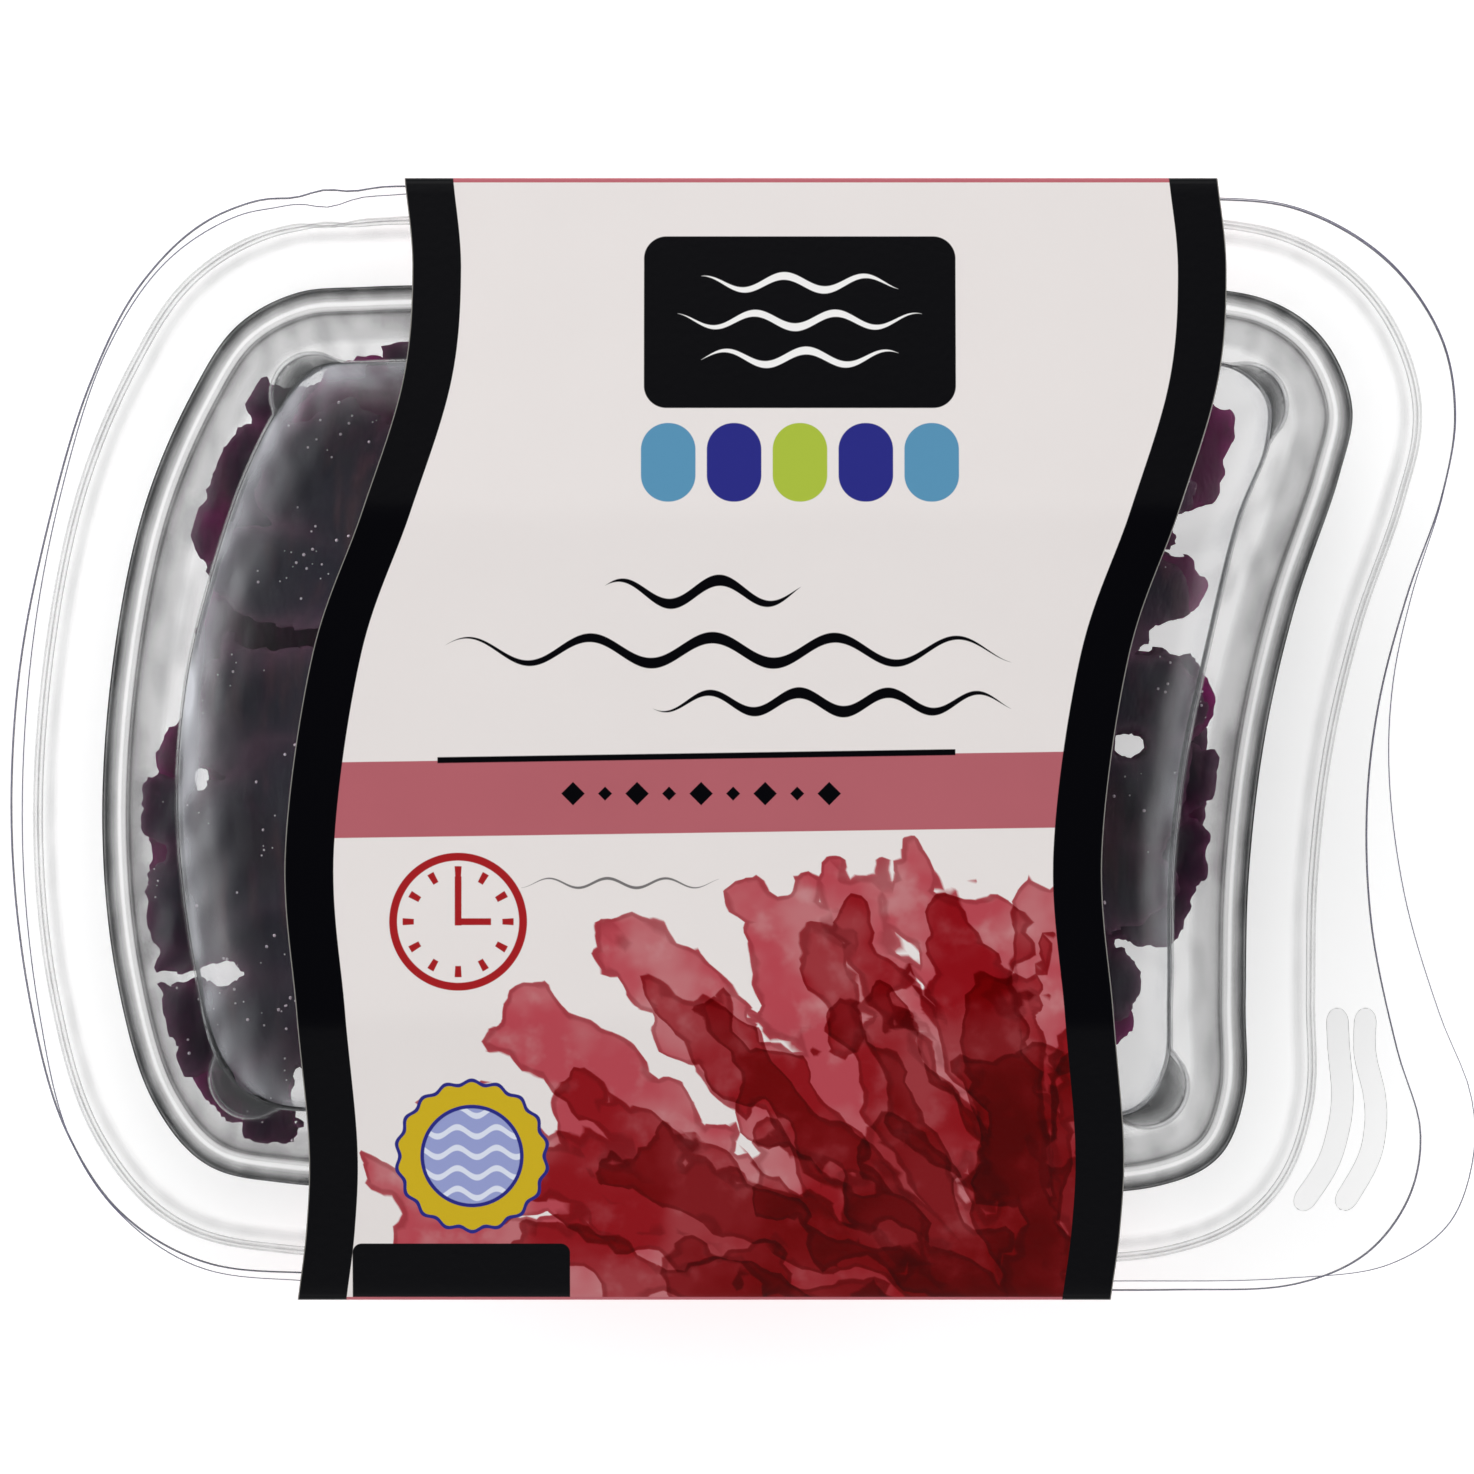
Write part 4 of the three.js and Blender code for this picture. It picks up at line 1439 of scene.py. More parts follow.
def largest_patch(cells: np.ndarray) -> np.ndarray:
    """The largest connected patch of a mask, with no two cells that touch only at a corner.

    Args:
        cells: The mask.

    Returns:
        The mask of that patch.
    """
    cells = cells.copy()
    changed = True
    while changed:
        a, b, c, d = cells[:-1, :-1], cells[:-1, 1:], cells[1:, :-1], cells[1:, 1:]
        falling = a & d & ~b & ~c
        rising = b & c & ~a & ~d
        changed = bool(falling.any() or rising.any())
        cells[:-1, 1:] |= falling
        cells[:-1, :-1] |= rising
    label = np.where(cells, np.arange(1, cells.size + 1).reshape(cells.shape), 0)
    while True:
        grown = label.copy()
        grown[1:] = np.maximum(grown[1:], label[:-1])
        grown[:-1] = np.maximum(grown[:-1], label[1:])
        grown[:, 1:] = np.maximum(grown[:, 1:], label[:, :-1])
        grown[:, :-1] = np.maximum(grown[:, :-1], label[:, 1:])
        grown = np.where(cells, grown, 0)
        if (grown == label).all():
            break
        label = grown
    values, counts = np.unique(label[label > 0], return_counts=True)
    return label == values[np.argmax(counts)]


def points_of(cells: np.ndarray) -> tuple[np.ndarray, np.ndarray]:
    """The grid points at the corners of a patch of cells.

    Args:
        cells: The patch's mask.

    Returns:
        The mask of those points, and of the ones on the patch's border.
    """
    around = np.pad(cells.astype(int), 1)
    full = around[:-1, :-1] + around[1:, :-1] + around[:-1, 1:] + around[1:, 1:]
    return full > 0, (full > 0) & (full < 4)


def sheet_faces(cells: np.ndarray, used: np.ndarray) -> list[list[int]]:
    """Faces of a closed sheet: its upper side, its lower side and its rim.

    Args:
        cells: The mask of the grid's cells that it covers.
        used: The mask of the grid's points that it has.

    Returns:
        The faces. The lower side's points are numbered after the upper side's.
    """
    count = int(used.sum())
    number = np.full(used.shape, -1)
    number[used] = np.arange(count)
    corners = np.stack([number[:-1, :-1], number[:-1, 1:], number[1:, 1:], number[1:, :-1]], axis=2)[cells]
    edges = dict.fromkeys(
        pair for a, b, c, d in corners.tolist() for pair in ((a, b), (b, c), (c, d), (d, a))
    )
    rim = [[b, a, a + count, b + count] for a, b in edges if (b, a) not in edges]
    return corners.tolist() + (corners[:, ::-1] + count).tolist() + rim


@dataclass
class Salt:
    """Grains of salt that lie on the topmost fronds.

    Attributes:
        density: How many grains there are to a square metre.
        smallest: A small grain's half-width.
        largest: A large grain's half-width.
        seed: What fixes their places.
        damp: A grain's colour where it is damp.
        dry: Its colour where it is dry.
    """

    density: float = 340000.0
    smallest: float = 0.07
    largest: float = 0.22
    seed: int = 7
    damp: Triple = (0.52, 0.40, 0.49)
    dry: Triple = (0.86, 0.70, 0.82)

    def material(self) -> bpy.types.Material:
        """Makes a grain's finish: pale and slightly glassy.

        Returns:
            The material.
        """
        paint = Paint("salt")
        cloudy = paint.noise(3000.0, 2.0)
        color = paint.blend(cloudy, self.damp, self.dry)
        grain = paint.make("ShaderNodeBsdfPrincipled", values={"Base Color": color, "Roughness": 0.25})
        return paint.finish(grain)

    def build(self, fronds: Sequence[bpy.types.Object]) -> list[bpy.types.Object]:
        """Scatters the grains.

        Args:
            fronds: The fronds that they lie on.

        Returns:
            One piece for each frond's grains.
        """
        return [self.scatter(frond, place) for place, frond in enumerate(fronds)]

    def scatter(self, frond: bpy.types.Object, place: int) -> bpy.types.Object:
        """Scatters the grains on one frond.

        Args:
            frond: The frond.
            place: Its place among those that carry grains.

        Returns:
            The piece.
        """
        sizes = {"Density": self.density, "Smallest": self.smallest * MM, "Largest": self.largest * MM}
        draft = Draft("salt_grains", sizes)
        facing = draft.make("GeometryNodeInputNormal")
        faces_up = draft.make("ShaderNodeSeparateXYZ", values={0: facing}).of("Z")
        clumps = draft.make("ShaderNodeTexNoise", values={"Scale": 140.0, "Detail": 2.0})
        density = draft.start.of("Density") * clumps.ramp(0.46, 0.66)
        spots = draft.make(
            "GeometryNodeDistributePointsOnFaces",
            values={
                "Mesh": draft.start.of("Geometry"),
                "Selection": faces_up.math("GREATER_THAN", 0.6),
                "Density": density,
                "Seed": self.seed + place,
            },
        )
        grain = draft.make("GeometryNodeMeshIcoSphere", values={"Radius": 1.0, "Subdivisions": 1})
        size = draft.make(
            "FunctionNodeRandomValue",
            {"data_type": "FLOAT"},
            {2: draft.start.of("Smallest"), 3: draft.start.of("Largest"), "Seed": self.seed},
            output=1,
        )
        grains = draft.make(
            "GeometryNodeInstanceOnPoints", values={"Points": spots, "Instance": grain, "Scale": size}
        )
        material = self.material()
        mesh = draft.mesh_of(frond, grains, material)
        return place_piece(f"salt_{place + 1}", mesh, material)


SLEEVE_WIDTH = 86.8


class Panel(Enum):
    """The parts of the sleeve that are finished in different ways."""

    BACK = 0
    FRONT = 1
    SIDE = 2
    INSIDE = 3
    CUT = 4


@dataclass(frozen=True)
class Block:
    """A printed block with round corners.

    Attributes:
        cx: X of its middle.
        cy: Y of its middle.
        half_x: Half its length along X.
        half_y: Half its length along Y.
        corner: The radius of its corners.
    """

    cx: float
    cy: float
    half_x: float
    half_y: float
    corner: float

    def mask(self, x: Wire, y: Wire) -> Wire:
        """The block's mask.

        Args:
            x: X on the card.
            y: Y on the card.

        Returns:
            1 inside it and 0 outside.
        """
        dx = ((x - self.cx).size() - (self.half_x - self.corner)).larger(0.0)
        dy = ((y - self.cy).size() - (self.half_y - self.corner)).larger(0.0)
        return ((dx * dx + dy * dy).math("SQRT") - self.corner).under(0.0)


@dataclass(frozen=True)
class WaveLine:
    """A printed wave line that thins towards its ends.

    Attributes:
        cx: X of its middle.
        cy: Y of its middle.
        half: Half its length.
        height: The waves' height.
        length: The length of one wave.
        weight: Half its thickness in the middle.
    """

    cx: float
    cy: float
    half: float
    height: float
    length: float
    weight: float

    def mask(self, x: Wire, y: Wire) -> Wire:
        """The line's mask.

        Args:
            x: X on the card.
            y: Y on the card.

        Returns:
            1 on it and 0 beside it.
        """
        wave = (x * (2.0 * math.pi / self.length) + self.cy).sin() * self.height
        along = (x - self.cx) / self.half
        taper = 1.0 - along * along
        line = ((y - self.cy - wave).size() - taper.larger(0.0) * self.weight).under(0.0)
        return line * (1.0 - taper.under(0.0, 0.02))


@dataclass(frozen=True)
class Rule:
    """A printed straight line.

    Attributes:
        cx: X of its middle.
        level: Its Y where X is 0.
        slope: How fast it rises along X.
        half: Half its length.
        weight: Half its thickness.
    """

    cx: float
    level: float
    slope: float
    half: float
    weight: float

    def mask(self, x: Wire, y: Wire) -> Wire:
        """The line's mask."""
        aside = (y - x * self.slope - self.level).size()
        return aside.under(self.weight) * (x - self.cx).size().under(self.half)


@dataclass(frozen=True)
class Lozenge:
    """A small printed lozenge, with its middle and its reach along each axis."""

    cx: float
    cy: float
    reach: float

    def mask(self, x: Wire, y: Wire) -> Wire:
        """The lozenge's mask."""
        return ((x - self.cx).size() + (y - self.cy).size()).under(self.reach)


def distance_from(x: Wire, y: Wire, cx: float, cy: float) -> Wire:
    """How far a point is from a centre."""
    return ((x - cx) * (x - cx) + (y - cy) * (y - cy)).math("SQRT")


@dataclass(frozen=True)
class ClockFace:
    """A plain printed clock face: a ring, a mark for each hour and two hands.

    Attributes:
        cx: X of its middle.
        cy: Y of its middle.
        ring: The ring's radius.
        mark_ring: How far out the marks are.
        hours: How many marks there are.
        hand: Half the hands' thickness.
        long_hand: How far up the long hand's middle is, and half its length.
        short_hand: How far to the right the short hand's middle is, and half its length.
    """

    cx: float
    cy: float
    ring: float = 6.9
    mark_ring: float = 5.3
    hours: float = 12.0
    hand: float = 0.36
    long_hand: Point = (2.2, 2.6)
    short_hand: Point = (1.6, 1.9)

    def masks(self, x: Wire, y: Wire) -> list[Wire]:
        """The masks of its parts.

        Args:
            x: X on the card.
            y: Y on the card.

        Returns:
            The ring, the marks and the two hands.
        """
        away, aside, above = distance_from(x, y, self.cx, self.cy), x - self.cx, y - self.cy
        turn = above.math("ARCTAN2", aside) * self.hours
        marks = (-turn.math("COSINE")).under(-0.72, 0.1) * (away - self.mark_ring).size().under(0.6)
        rim = (away - self.ring).size().under(0.42)
        up, reach_up = self.long_hand
        right, reach_right = self.short_hand
        long_hand = aside.size().under(self.hand) * (above - up).size().under(reach_up)
        short_hand = above.size().under(self.hand) * (aside - right).size().under(reach_right)
        return [rim, marks, long_hand, short_hand]


@dataclass(frozen=True)
class Seal:
    """A plain printed seal: a scalloped ring round rows of water.

    Attributes:
        cx: X of its middle.
        cy: Y of its middle.
        reach: The ring's outer radius.
        window: The water's radius.
        outline: How wide the dark lines round both are.
        scallops: How many scallops the ring has.
        scallop: How deep they are.
        row_gap: Half the distance between two rows of water.
    """

    cx: float
    cy: float
    reach: float = 7.7
    window: float = 5.1
    outline: float = 0.4
    scallops: float = 18.0
    scallop: float = 0.22
    row_gap: float = 1.1

    def masks(self, x: Wire, y: Wire) -> list[Wire]:
        """The masks of its parts.

        Args:
            x: X on the card.
            y: Y on the card.

        Returns:
            The ring's outline, the ring, the window's outline, the water and its rows of waves.
        """
        away = distance_from(x, y, self.cx, self.cy)
        turn = (y - self.cy).math("ARCTAN2", x - self.cx) * self.scallops
        ring = away + turn.math("COSINE") * self.scallop
        rows = ((x * 1.5).sin() * 0.5 + y + 44.0).math("PINGPONG", self.row_gap).under(0.32, 0.1)
        window = away.under(self.window)
        return [
            ring.under(self.reach + self.outline),
            ring.under(self.reach),
            away.under(self.window + self.outline),
            window,
            window * rows,
        ]


@dataclass(frozen=True)
class SleevePrint:
    """Finish of the printed card: pale ground, black side borders and a plain generic design.

    Attributes:
        fronds: The ink of one blade in the picture.
        overlap: What darkens its margins.
        board: The card where it isn't printed.
        border: The width of the black side borders.
        worn: How far the ink is worn off along the cut ends.
        band_slope: How fast the pink band rises along X.
        band_top: Y of its upper side where X is 0.
        band_bottom: Y of its lower side there.
    """

    card: Triple = (0.80, 0.755, 0.74)
    pink: Triple = (0.46, 0.125, 0.15)
    black: Triple = (0.002, 0.002, 0.003)
    yellow: Triple = (0.60, 0.42, 0.015)
    blue: Triple = (0.095, 0.28, 0.45)
    indigo: Triple = (0.022, 0.024, 0.22)
    green: Triple = (0.39, 0.50, 0.05)
    red: Triple = (0.36, 0.015, 0.018)
    fronds: Triple = (0.56, 0.055, 0.085)
    board: Triple = (0.62, 0.59, 0.55)
    chalk: Triple = (0.86, 0.85, 0.84)
    slate: Triple = (0.17, 0.16, 0.16)
    lilac: Triple = (0.30, 0.34, 0.62)
    foam: Triple = (0.70, 0.74, 0.86)
    overlap: Triple = (0.40, 0.08, 0.10)
    border: float = 5.2
    worn: float = 0.1
    band_slope: float = 0.0145
    band_top: float = -1.85
    band_bottom: float = -9.9
    plaque: Block = Block(6.1, 44.4, 16.6, 9.2, 2.4)
    plaque_waves: tuple[WaveLine, ...] = (
        WaveLine(6.1, 48.6, 10.5, 0.75, 8.6, 0.42),
        WaveLine(6.1, 44.6, 13.0, 0.75, 8.6, 0.42),
        WaveLine(6.1, 40.6, 10.5, 0.75, 8.6, 0.42),
    )
    pills: tuple[Block, ...] = tuple(Block(-7.9 + 7.0 * place, 29.4, 2.9, 4.2, 2.85) for place in range(5))
    strokes: tuple[WaveLine, ...] = (
        WaveLine(-4.2, 15.6, 10.4, 1.25, 10.5, 0.62),
        WaveLine(-1.5, 9.4, 30.0, 1.35, 13.0, 0.62),
        WaveLine(9.5, 3.9, 19.0, 1.0, 9.5, 0.62),
    )
    rule: Rule = Rule(-4.9, -1.75, 0.0155, 27.5, 0.32)
    lozenges: tuple[Lozenge, ...] = tuple(
        Lozenge(-18.0 + 3.4 * place, -5.8, 0.75 if place % 2 else 1.25) for place in range(9)
    )
    thin_stroke: WaveLine = WaveLine(-13.0, -15.3, 10.5, 0.5, 6.2, 0.16)
    clock: ClockFace = ClockFace(-30.2, -19.4)
    seal: Seal = Seal(-28.8, -44.4)
    label: Block = Block(-30.0, -57.2, 11.6, 3.4, 1.0)

    def material(self) -> bpy.types.Material:
        """Makes the finish.

        Returns:
            The material.
        """
        paint = Paint("printed_card")
        x, y, _ = paint.axes()
        panel = paint.attribute("panel")
        front, side, inside, cut = (
            (panel - float(kind.value)).size().under(0.5, 0.1)
            for kind in (Panel.FRONT, Panel.SIDE, Panel.INSIDE, Panel.CUT)
        )
        across = paint.attribute("across")
        fibre = paint.noise(1500.0, 1.0)
        mottle = paint.noise(90.0, 3.0)
        color = paint.blend(mottle * 0.5, self.card, tuple(0.94 * c for c in self.card))
        color = paint.blend(side, color, self.pink)
        band = paint.blend(mottle * 0.6, self.pink, tuple(0.85 * c for c in self.pink))
        color = paint.blend(self.band(x, y) * front, color, band)
        color = self.picture(paint, color, front)
        for mask, ink in self.motifs(x, y):
            color = paint.blend(mask * front, color, ink)
        stripe = (SLEEVE_WIDTH / 2 - self.border - across.size()).under(0.0, 0.06)
        color = paint.blend(stripe, color, self.black)
        worn = (SLEEVE_WIDTH / 2 - self.worn - across.size()).under(0.0, 0.06)
        color = paint.blend(worn * 0.4, color, self.board)
        color = paint.blend(cut + inside, color, self.board)
        normal = paint.bump(fibre, 0.12, 0.08)
        card = paint.make(
            "ShaderNodeBsdfPrincipled",
            values={"Base Color": color, "Roughness": 0.3, "Specular IOR Level": 0.07, "Normal": normal},
        )
        return paint.finish(card)

    def band(self, x: Wire, y: Wire) -> Wire:
        """Mask of the pink band across the front."""
        line = y - x * self.band_slope
        return line.under(self.band_top) * (-line).under(-self.band_bottom)

    def picture(self, paint: Paint, color: Wire, front: Wire) -> Wire:
        """The front's drawn fan of see-through crimson blades, over what is printed under it.

        Args:
            paint: The material.
            color: The colour under the picture.
            front: Mask of the front.

        Returns:
            The colour with the picture.
        """
        streaks = paint.noise(260.0, 3.0)
        clouds = paint.noise(95.0, 3.0)
        for place in range(FanPicture.LAYERS):
            gap = paint.attribute(f"fan_{place}") + (streaks - 0.5) * 0.5
            mask = gap.under(0.0, 0.16) * front
            body = mask * (clouds.ramp(0.35, 0.6, 0.82, 0.97) - streaks.ramp(0.5, 0.75, 0.0, 0.12))
            color = paint.blend(body, color, self.fronds, "MULTIPLY")
            edge = (gap + 0.35).size().under(0.28, 0.3) * mask
            color = paint.blend(edge * 0.4, color, self.overlap, "MULTIPLY")
        return color

    def motifs(self, x: Wire, y: Wire) -> list[tuple[Wire, Triple]]:
        """The small printed shapes on the front.

        Args:
            x: X on the card.
            y: Y on the card.

        Returns:
            Each shape's mask and ink, in printing order.
        """
        printed = [
            (self.plaque, self.black),
            *((wave, self.chalk) for wave in self.plaque_waves),
            *zip(self.pills, (self.blue, self.indigo, self.green, self.indigo, self.blue)),
            *((stroke, self.black) for stroke in self.strokes),
            (self.rule, self.black),
            *((lozenge, self.black) for lozenge in self.lozenges),
            (self.thin_stroke, self.slate),
        ]
        shapes = [(shape.mask(x, y), ink) for shape, ink in printed]
        shapes += [(mask, self.red) for mask in self.clock.masks(x, y)]
        seal_inks = (self.indigo, self.yellow, self.indigo, self.lilac, self.foam)
        shapes += zip(self.seal.masks(x, y), seal_inks)
        return shapes + [(self.label.mask(x, y), self.black)]


@dataclass(frozen=True)
class FanPicture:
    """The drawn fan of blades on the front, as layers of straps that spread from one foot.

    Attributes:
        foot: Where the blades spring from.
        widths: The blades' width in each layer.
        tips: Where the blades of each layer end.
    """

    foot: Point = (33.0, -66.0)
    widths: tuple[float, ...] = (8.5, 8.0, 7.5, 7.0)
    tips: tuple[tuple[Point, ...], ...] = (
        ((-33, -41), (-25, -29), (-12, -21), (3, -16), (17, -12), (33, -15)),
        ((-37, -53), (-20, -39), (-7, -27), (9, -21), (24, -17), (37, -22)),
        ((-24, -55), (-13, -45), (1, -34), (13, -28), (27, -25), (38, -32)),
        ((-8, -56), (3, -47), (15, -40), (27, -35), (38, -42)),
    )
    LAYERS = 4

    def distance(self, layer: int, x: np.ndarray, y: np.ndarray) -> np.ndarray:
        """How far points are outside a layer of the picture.

        Args:
            layer: The layer's place.
            x: X of the points.
            y: Y of the points.

        Returns:
            The distances, negative inside.
        """
        draw = np.random.default_rng(300 + layer)
        straps = []
        for tx, ty in self.tips[layer]:
            width = self.widths[layer] * draw.uniform(0.75, 1.25)
            straps.append(Strap(self.foot, (tx, ty), width, draw.uniform(-0.12, 0.12), 0.3))
            side = np.array([tx, ty]) + draw.uniform(-7.0, 7.0, 2)
            halfway = (0.5 * (tx + self.foot[0]), 0.5 * (ty + self.foot[1]))
            straps.append(Strap(halfway, tuple(side), width * 0.5, 0.1, 0.4))
        bend_x = 1.4 * Ripple(9.0, 310 + layer).at(x, y) + 0.5 * Ripple(3.0, 320 + layer).at(x, y)
        bend_y = 1.4 * Ripple(9.0, 330 + layer).at(x, y) + 0.5 * Ripple(3.0, 340 + layer).at(x, y)
        return joined([strap.distance(x + bend_x, y + bend_y) for strap in straps], 0.3)


@dataclass
class Sleeve:
    """The card sleeve: one band with creases across its front and waves along its cut ends.

    Attributes:
        wave: Y and X of the middle line, which waves as the cut ends do.
        top: The front's height.
        half_height: Half its height as printed, along Y.
        creases: Y of the two creases across the front.
        back_half: Half the back's height, along Y.
        crease_angle: The angle in degrees past which a fold stays sharp.
        step: The spacing of its points.
        loose_step: The spacing of its points round the sides and back.
        bend_steps: How many steps each rounded fold has.
    """

    width: float = SLEEVE_WIDTH
    wave: tuple[Point, ...] = (
        (-60, -4.1), (-52, -3.1), (-43, -2.8), (-29, -4), (-12, -5.2), (9, -2.3), (24, 2.9), (38, 7.2),
        (50, 8.2), (60, 7.3),
    )
    card: float = 0.4
    top: float = 34.4
    side_top: float = 26.5
    side_bottom: float = 23.4
    half_height: float = 59.9
    creases: Point = (23.9, -29.7)
    back_half: float = 45.0
    crease_angle: float = 40.0
    step: float = 1.1
    loose_step: float = 3.0
    bend_steps: int = 8
    finish: SleevePrint = SleevePrint()
    picture: FanPicture = FanPicture()

    def path(self) -> tuple[np.ndarray, np.ndarray]:
        """The outer face in cross-section, anticlockwise seen from +X.

        Returns:
            The points as Y and Z, and the panel that starts at each.
        """
        side = self.half_height
        front, slope, back = Panel.FRONT, Panel.SIDE, Panel.BACK
        corners = [
            (self.back_half, 0.0, 1.2, slope), (side, self.side_bottom, 1.0, slope),
            (side, self.side_top, 0.7, front), (self.creases[0], self.top, 1.4, front),
            (self.creases[1], self.top, 1.4, front), (-side, self.side_top, 0.7, slope),
            (-side, self.side_bottom, 1.0, slope), (-self.back_half, 0.0, 1.2, back),
        ]
        points, panels = [], []
        for place, (y, z, bend, panel) in enumerate(corners):
            here = np.array([y, z])
            before = np.array(corners[place - 1][:2])
            after_y, after_z, after_bend, _ = corners[(place + 1) % len(corners)]
            after = np.array([after_y, after_z])
            start = here + (before - here) / np.linalg.norm(before - here) * bend
            end = here + (after - here) / np.linalg.norm(after - here) * bend
            fold_at = 0.15 if panel == slope else 0.8
            for step in range(self.bend_steps):
                t = step / (self.bend_steps - 1)
                points.append((1 - t) ** 2 * start + 2 * t * (1 - t) * here + t * t * end)
                panels.append((panel if t > fold_at else corners[place - 1][3]).value)
            stop = after + (here - after) / np.linalg.norm(here - after) * after_bend
            spacing = self.step if panel == front else self.loose_step
            count = max(2, int(np.linalg.norm(stop - end) / spacing))
            for step in range(1, count):
                points.append(end + (stop - end) * step / count)
                panels.append(panel.value)
        return np.array(points), np.array(panels)

    def middle(self, y: np.ndarray) -> np.ndarray:
        """X of the sleeve's middle line."""
        line = open_curve(self.wave, 24)
        return np.interp(y, line[:, 0], line[:, 1])

    def build(self) -> bpy.types.Object:
        """Makes the sleeve.

        Returns:
            The piece that stands for the sleeve's solid.
        """
        outer, panels = self.path()
        along = np.roll(outer, -1, axis=0) - np.roll(outer, 1, axis=0)
        along /= np.linalg.norm(along, axis=1)[:, None]
        inner = outer + np.stack([-along[:, 1], along[:, 0]], axis=1) * self.card
        columns = int(self.width / self.step)
        spread = np.linspace(-0.5, 0.5, columns + 1) * self.width
        x = self.middle(outer[:, 0])[:, None] + spread[None, :]
        stack = []
        for face in (outer, inner):
            y, z = (np.repeat(face[:, axis : axis + 1], columns + 1, axis=1) for axis in (0, 1))
            stack.append(np.stack([x, y, z], axis=2).reshape(-1, 3))
        vertices = np.concatenate(stack)
        rows = len(outer)
        half = rows * (columns + 1)
        faces: list[tuple[int, ...]] = []
        kinds: list[int] = []
        for row in range(rows):
            here, there = row * (columns + 1), ((row + 1) % rows) * (columns + 1)
            for column in range(columns):
                a, b = here + column, here + column + 1
                c, d = there + column + 1, there + column
                faces += [(a, d, c, b), (half + a, half + b, half + c, half + d)]
                kinds += [panels[row], Panel.INSIDE.value]
            faces.append((here, half + here, half + there, there))
            faces.append((here + columns, there + columns, half + there + columns, half + here + columns))
            kinds += [Panel.CUT.value] * 2
        mesh = mesh_from("card_sleeve", vertices, faces, self.crease_angle)
        add_numbers(mesh, "panel", np.array(kinds), "FACE")
        add_numbers(mesh, "across", np.concatenate([np.tile(spread, rows)] * 2))
        for layer in range(FanPicture.LAYERS):
            add_numbers(mesh, f"fan_{layer}", self.picture.distance(layer, vertices[:, 0], vertices[:, 1]))
        piece = place_piece("card_sleeve", mesh, self.finish.material())
        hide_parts("sleeve")
        return piece


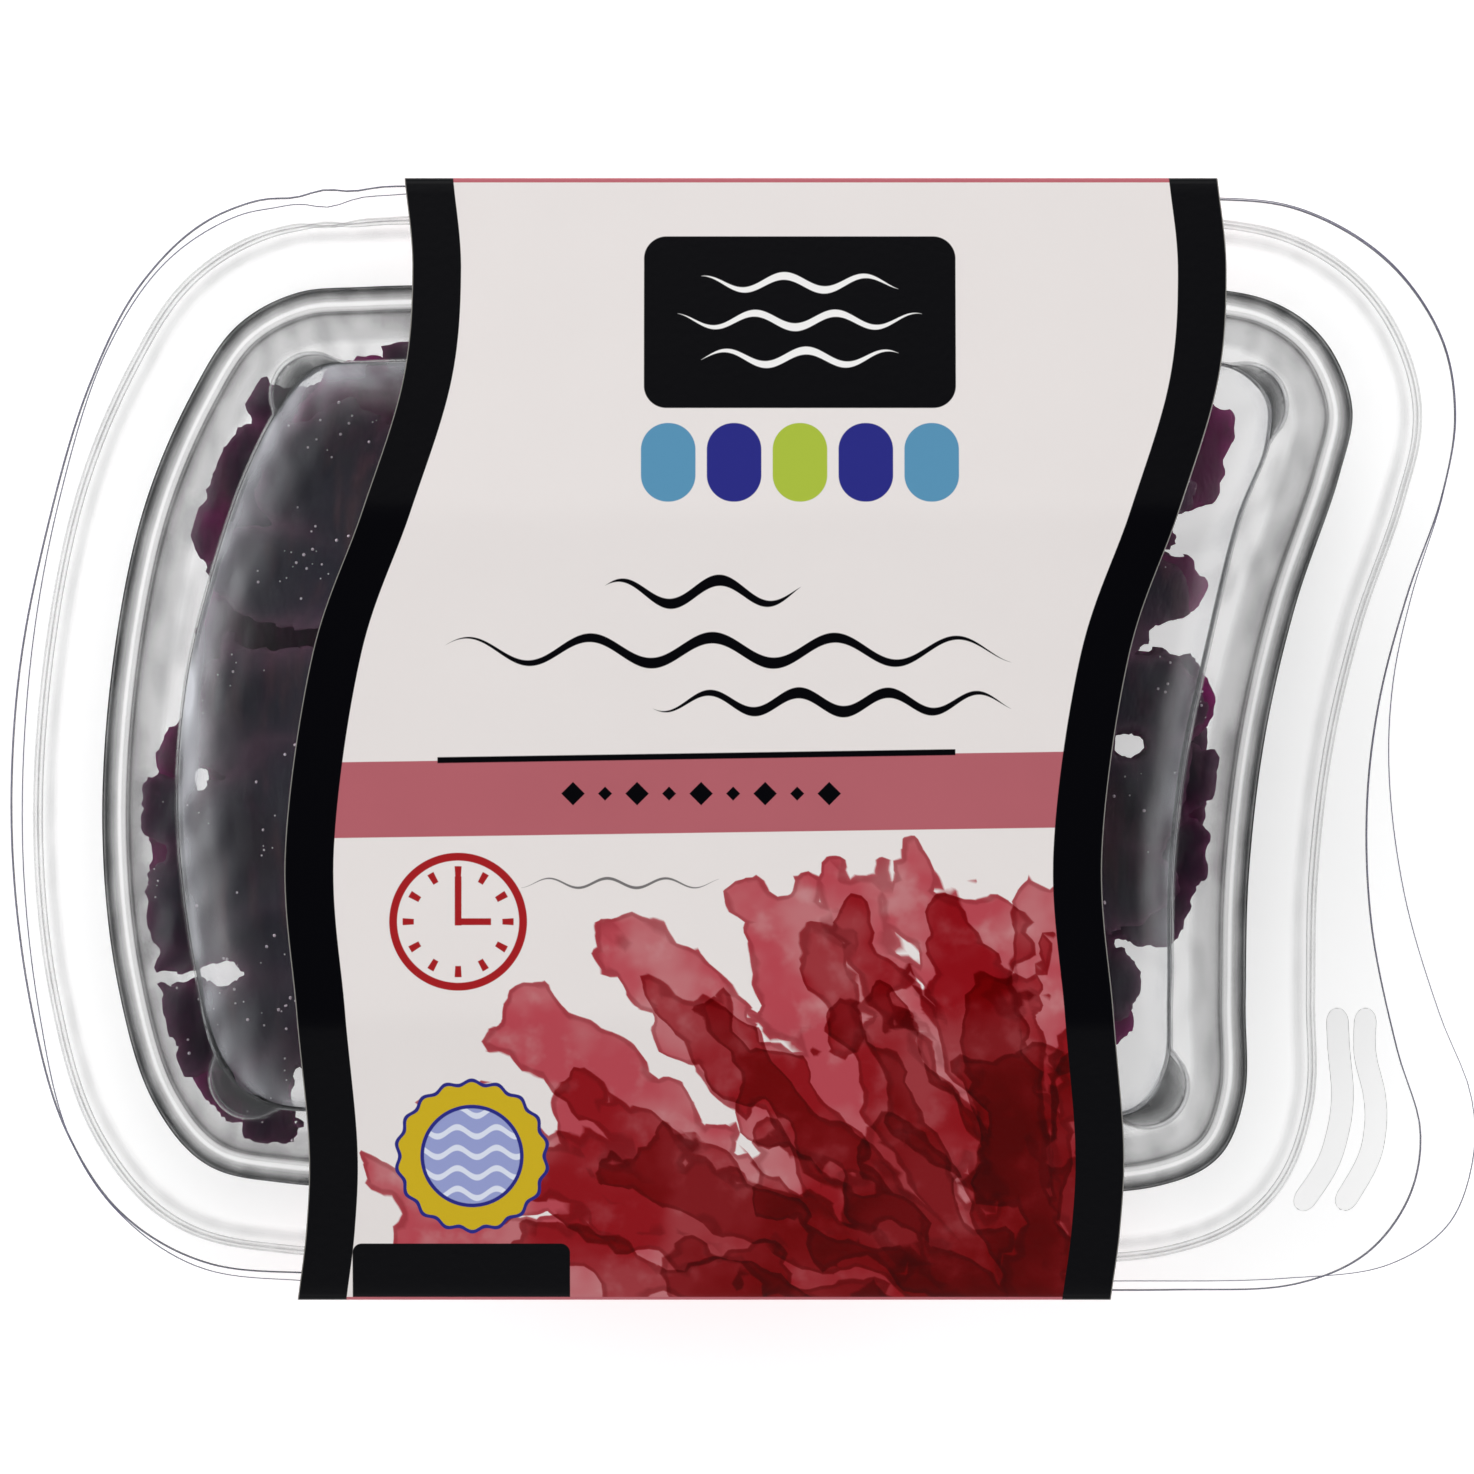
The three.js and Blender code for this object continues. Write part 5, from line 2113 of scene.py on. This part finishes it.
@dataclass
class Studio:
    """The pale floor, the soft lamps, the sky and the camera.

    Attributes:
        eye: The camera's height.
        view: The width that it takes in at the flange's height.
        aim: What is in the middle of the view.
        lamps: Each lamp's name, azimuth and elevation in degrees, width and power in watts.
        lamp_reach: How far the lamps stand, in metres.
        floor_reach: Half the floor's width.
        floor_drop: How far the floor lies under the sleeve, so that the two never share a plane.
    """

    eye: float = 1500.0
    view: float = 157.5
    flange: float = 25.0
    aim: Point = (-0.59, 0.21)
    lamps: tuple[tuple[str, float, float, float, float], ...] = (
        ("lamp_back", 100.0, 40.0, 800.0, 6.0), ("lamp_left", 180.0, 27.0, 850.0, 7.5),
        ("lamp_right", 0.0, 27.0, 850.0, 6.0), ("lamp_front", 265.0, 40.0, 700.0, 2.5),
    )
    lamp_reach: float = 1.3
    floor_reach: float = 4000.0
    floor_drop: float = 0.05

    def floor(self) -> None:
        """Makes the pale floor, which glows a little, as a light table does."""
        paint = Paint("pale_floor")
        grain = paint.noise(40.0, 2.0)
        color = paint.blend(grain, (0.82, 0.82, 0.82), (0.84, 0.84, 0.84))
        values = {
            "Base Color": color,
            "Roughness": 0.7,
            "Specular IOR Level": 0.1,
            "Emission Color": (1.0, 1.0, 1.0, 1.0),
            "Emission Strength": 0.5,
        }
        material = paint.finish(paint.make("ShaderNodeBsdfPrincipled", values=values))
        square = ((-1, -1), (1, -1), (1, 1), (-1, 1))
        corners = [(x * self.floor_reach, y * self.floor_reach, -self.floor_drop) for x, y in square]
        mesh = mesh_from("pale_floor", np.array(corners), [(0, 1, 2, 3)])
        mesh.materials.append(material)
        floor = bpy.data.objects.new("pale_floor", mesh)
        bpy.context.scene.collection.objects.link(floor)

    def lamp(self, name: str, azimuth: float, elevation: float, size: float, power: float) -> None:
        """Adds a soft square lamp that points at the pack.

        Args:
            name: The lamp's name.
            azimuth: Its direction from the pack, in degrees from +X towards +Y.
            elevation: Its height above the floor, in degrees.
            size: Its width in millimetres.
            power: Its power in watts.
        """
        light = bpy.data.lights.new(name, "AREA")
        light.size = size * MM
        light.energy = power
        lamp = bpy.data.objects.new(name, light)
        turn, lift = math.radians(azimuth), math.radians(elevation)
        away = self.lamp_reach * math.cos(lift)
        lamp.location = (away * math.cos(turn), away * math.sin(turn), self.lamp_reach * math.sin(lift))
        lamp.rotation_euler = (0.5 * math.pi - lift, 0.0, turn + 0.5 * math.pi)
        bpy.context.scene.collection.objects.link(lamp)

    def sky(self) -> None:
        """Sets a soft sky, bright at the sides and dark overhead."""
        world = bpy.data.worlds.new("soft_sky")
        world.use_nodes = True
        tree = Tree(world.node_tree)
        tree.nodes.nodes.clear()
        direction = tree.make("ShaderNodeTexCoord", output="Generated")
        up = tree.make("ShaderNodeSeparateXYZ", values={0: direction}).of("Z")
        stops = [(0.0, (0.75,) * 3), (0.5, (0.6,) * 3), (0.78, (0.26,) * 3), (0.93, (0.02, 0.02, 0.025))]
        shade = tree.make("ShaderNodeValToRGB", {"stops": stops}, {0: up.math("MAXIMUM", 0.0)})
        sky = tree.make("ShaderNodeBackground", values={"Color": shade, "Strength": 1.0})
        tree.make("ShaderNodeOutputWorld", values={"Surface": sky})
        bpy.context.scene.world = world

    def camera(self) -> None:
        """Sets the camera straight above the pack."""
        data = bpy.data.cameras.new("camera")
        data.sensor_width = 36.0
        data.lens = 36.0 * (self.eye - self.flange) / self.view
        data.clip_end = 20.0
        camera = bpy.data.objects.new("camera", data)
        camera.location = (self.aim[0] * MM, self.aim[1] * MM, self.eye * MM)
        bpy.context.scene.collection.objects.link(camera)
        bpy.context.scene.camera = camera

    def build(self) -> None:
        """Makes the whole studio."""
        self.floor()
        for lamp in self.lamps:
            self.lamp(*lamp)
        self.sky()
        self.camera()
        bpy.context.scene.view_settings.view_transform = "Standard"


def main() -> None:
    """Builds the pack and the studio."""
    logging.basicConfig(level=logging.INFO, format="%(message)s")
    Studio().build()
    rim = Rim()
    Tub().build(rim)
    lid = Lid()
    lid.build(rim)
    Sleeve().build()
    fronds = Heap(lid).build()
    Salt().build(fronds[-2:])


if __name__ == "__main__":
    main()
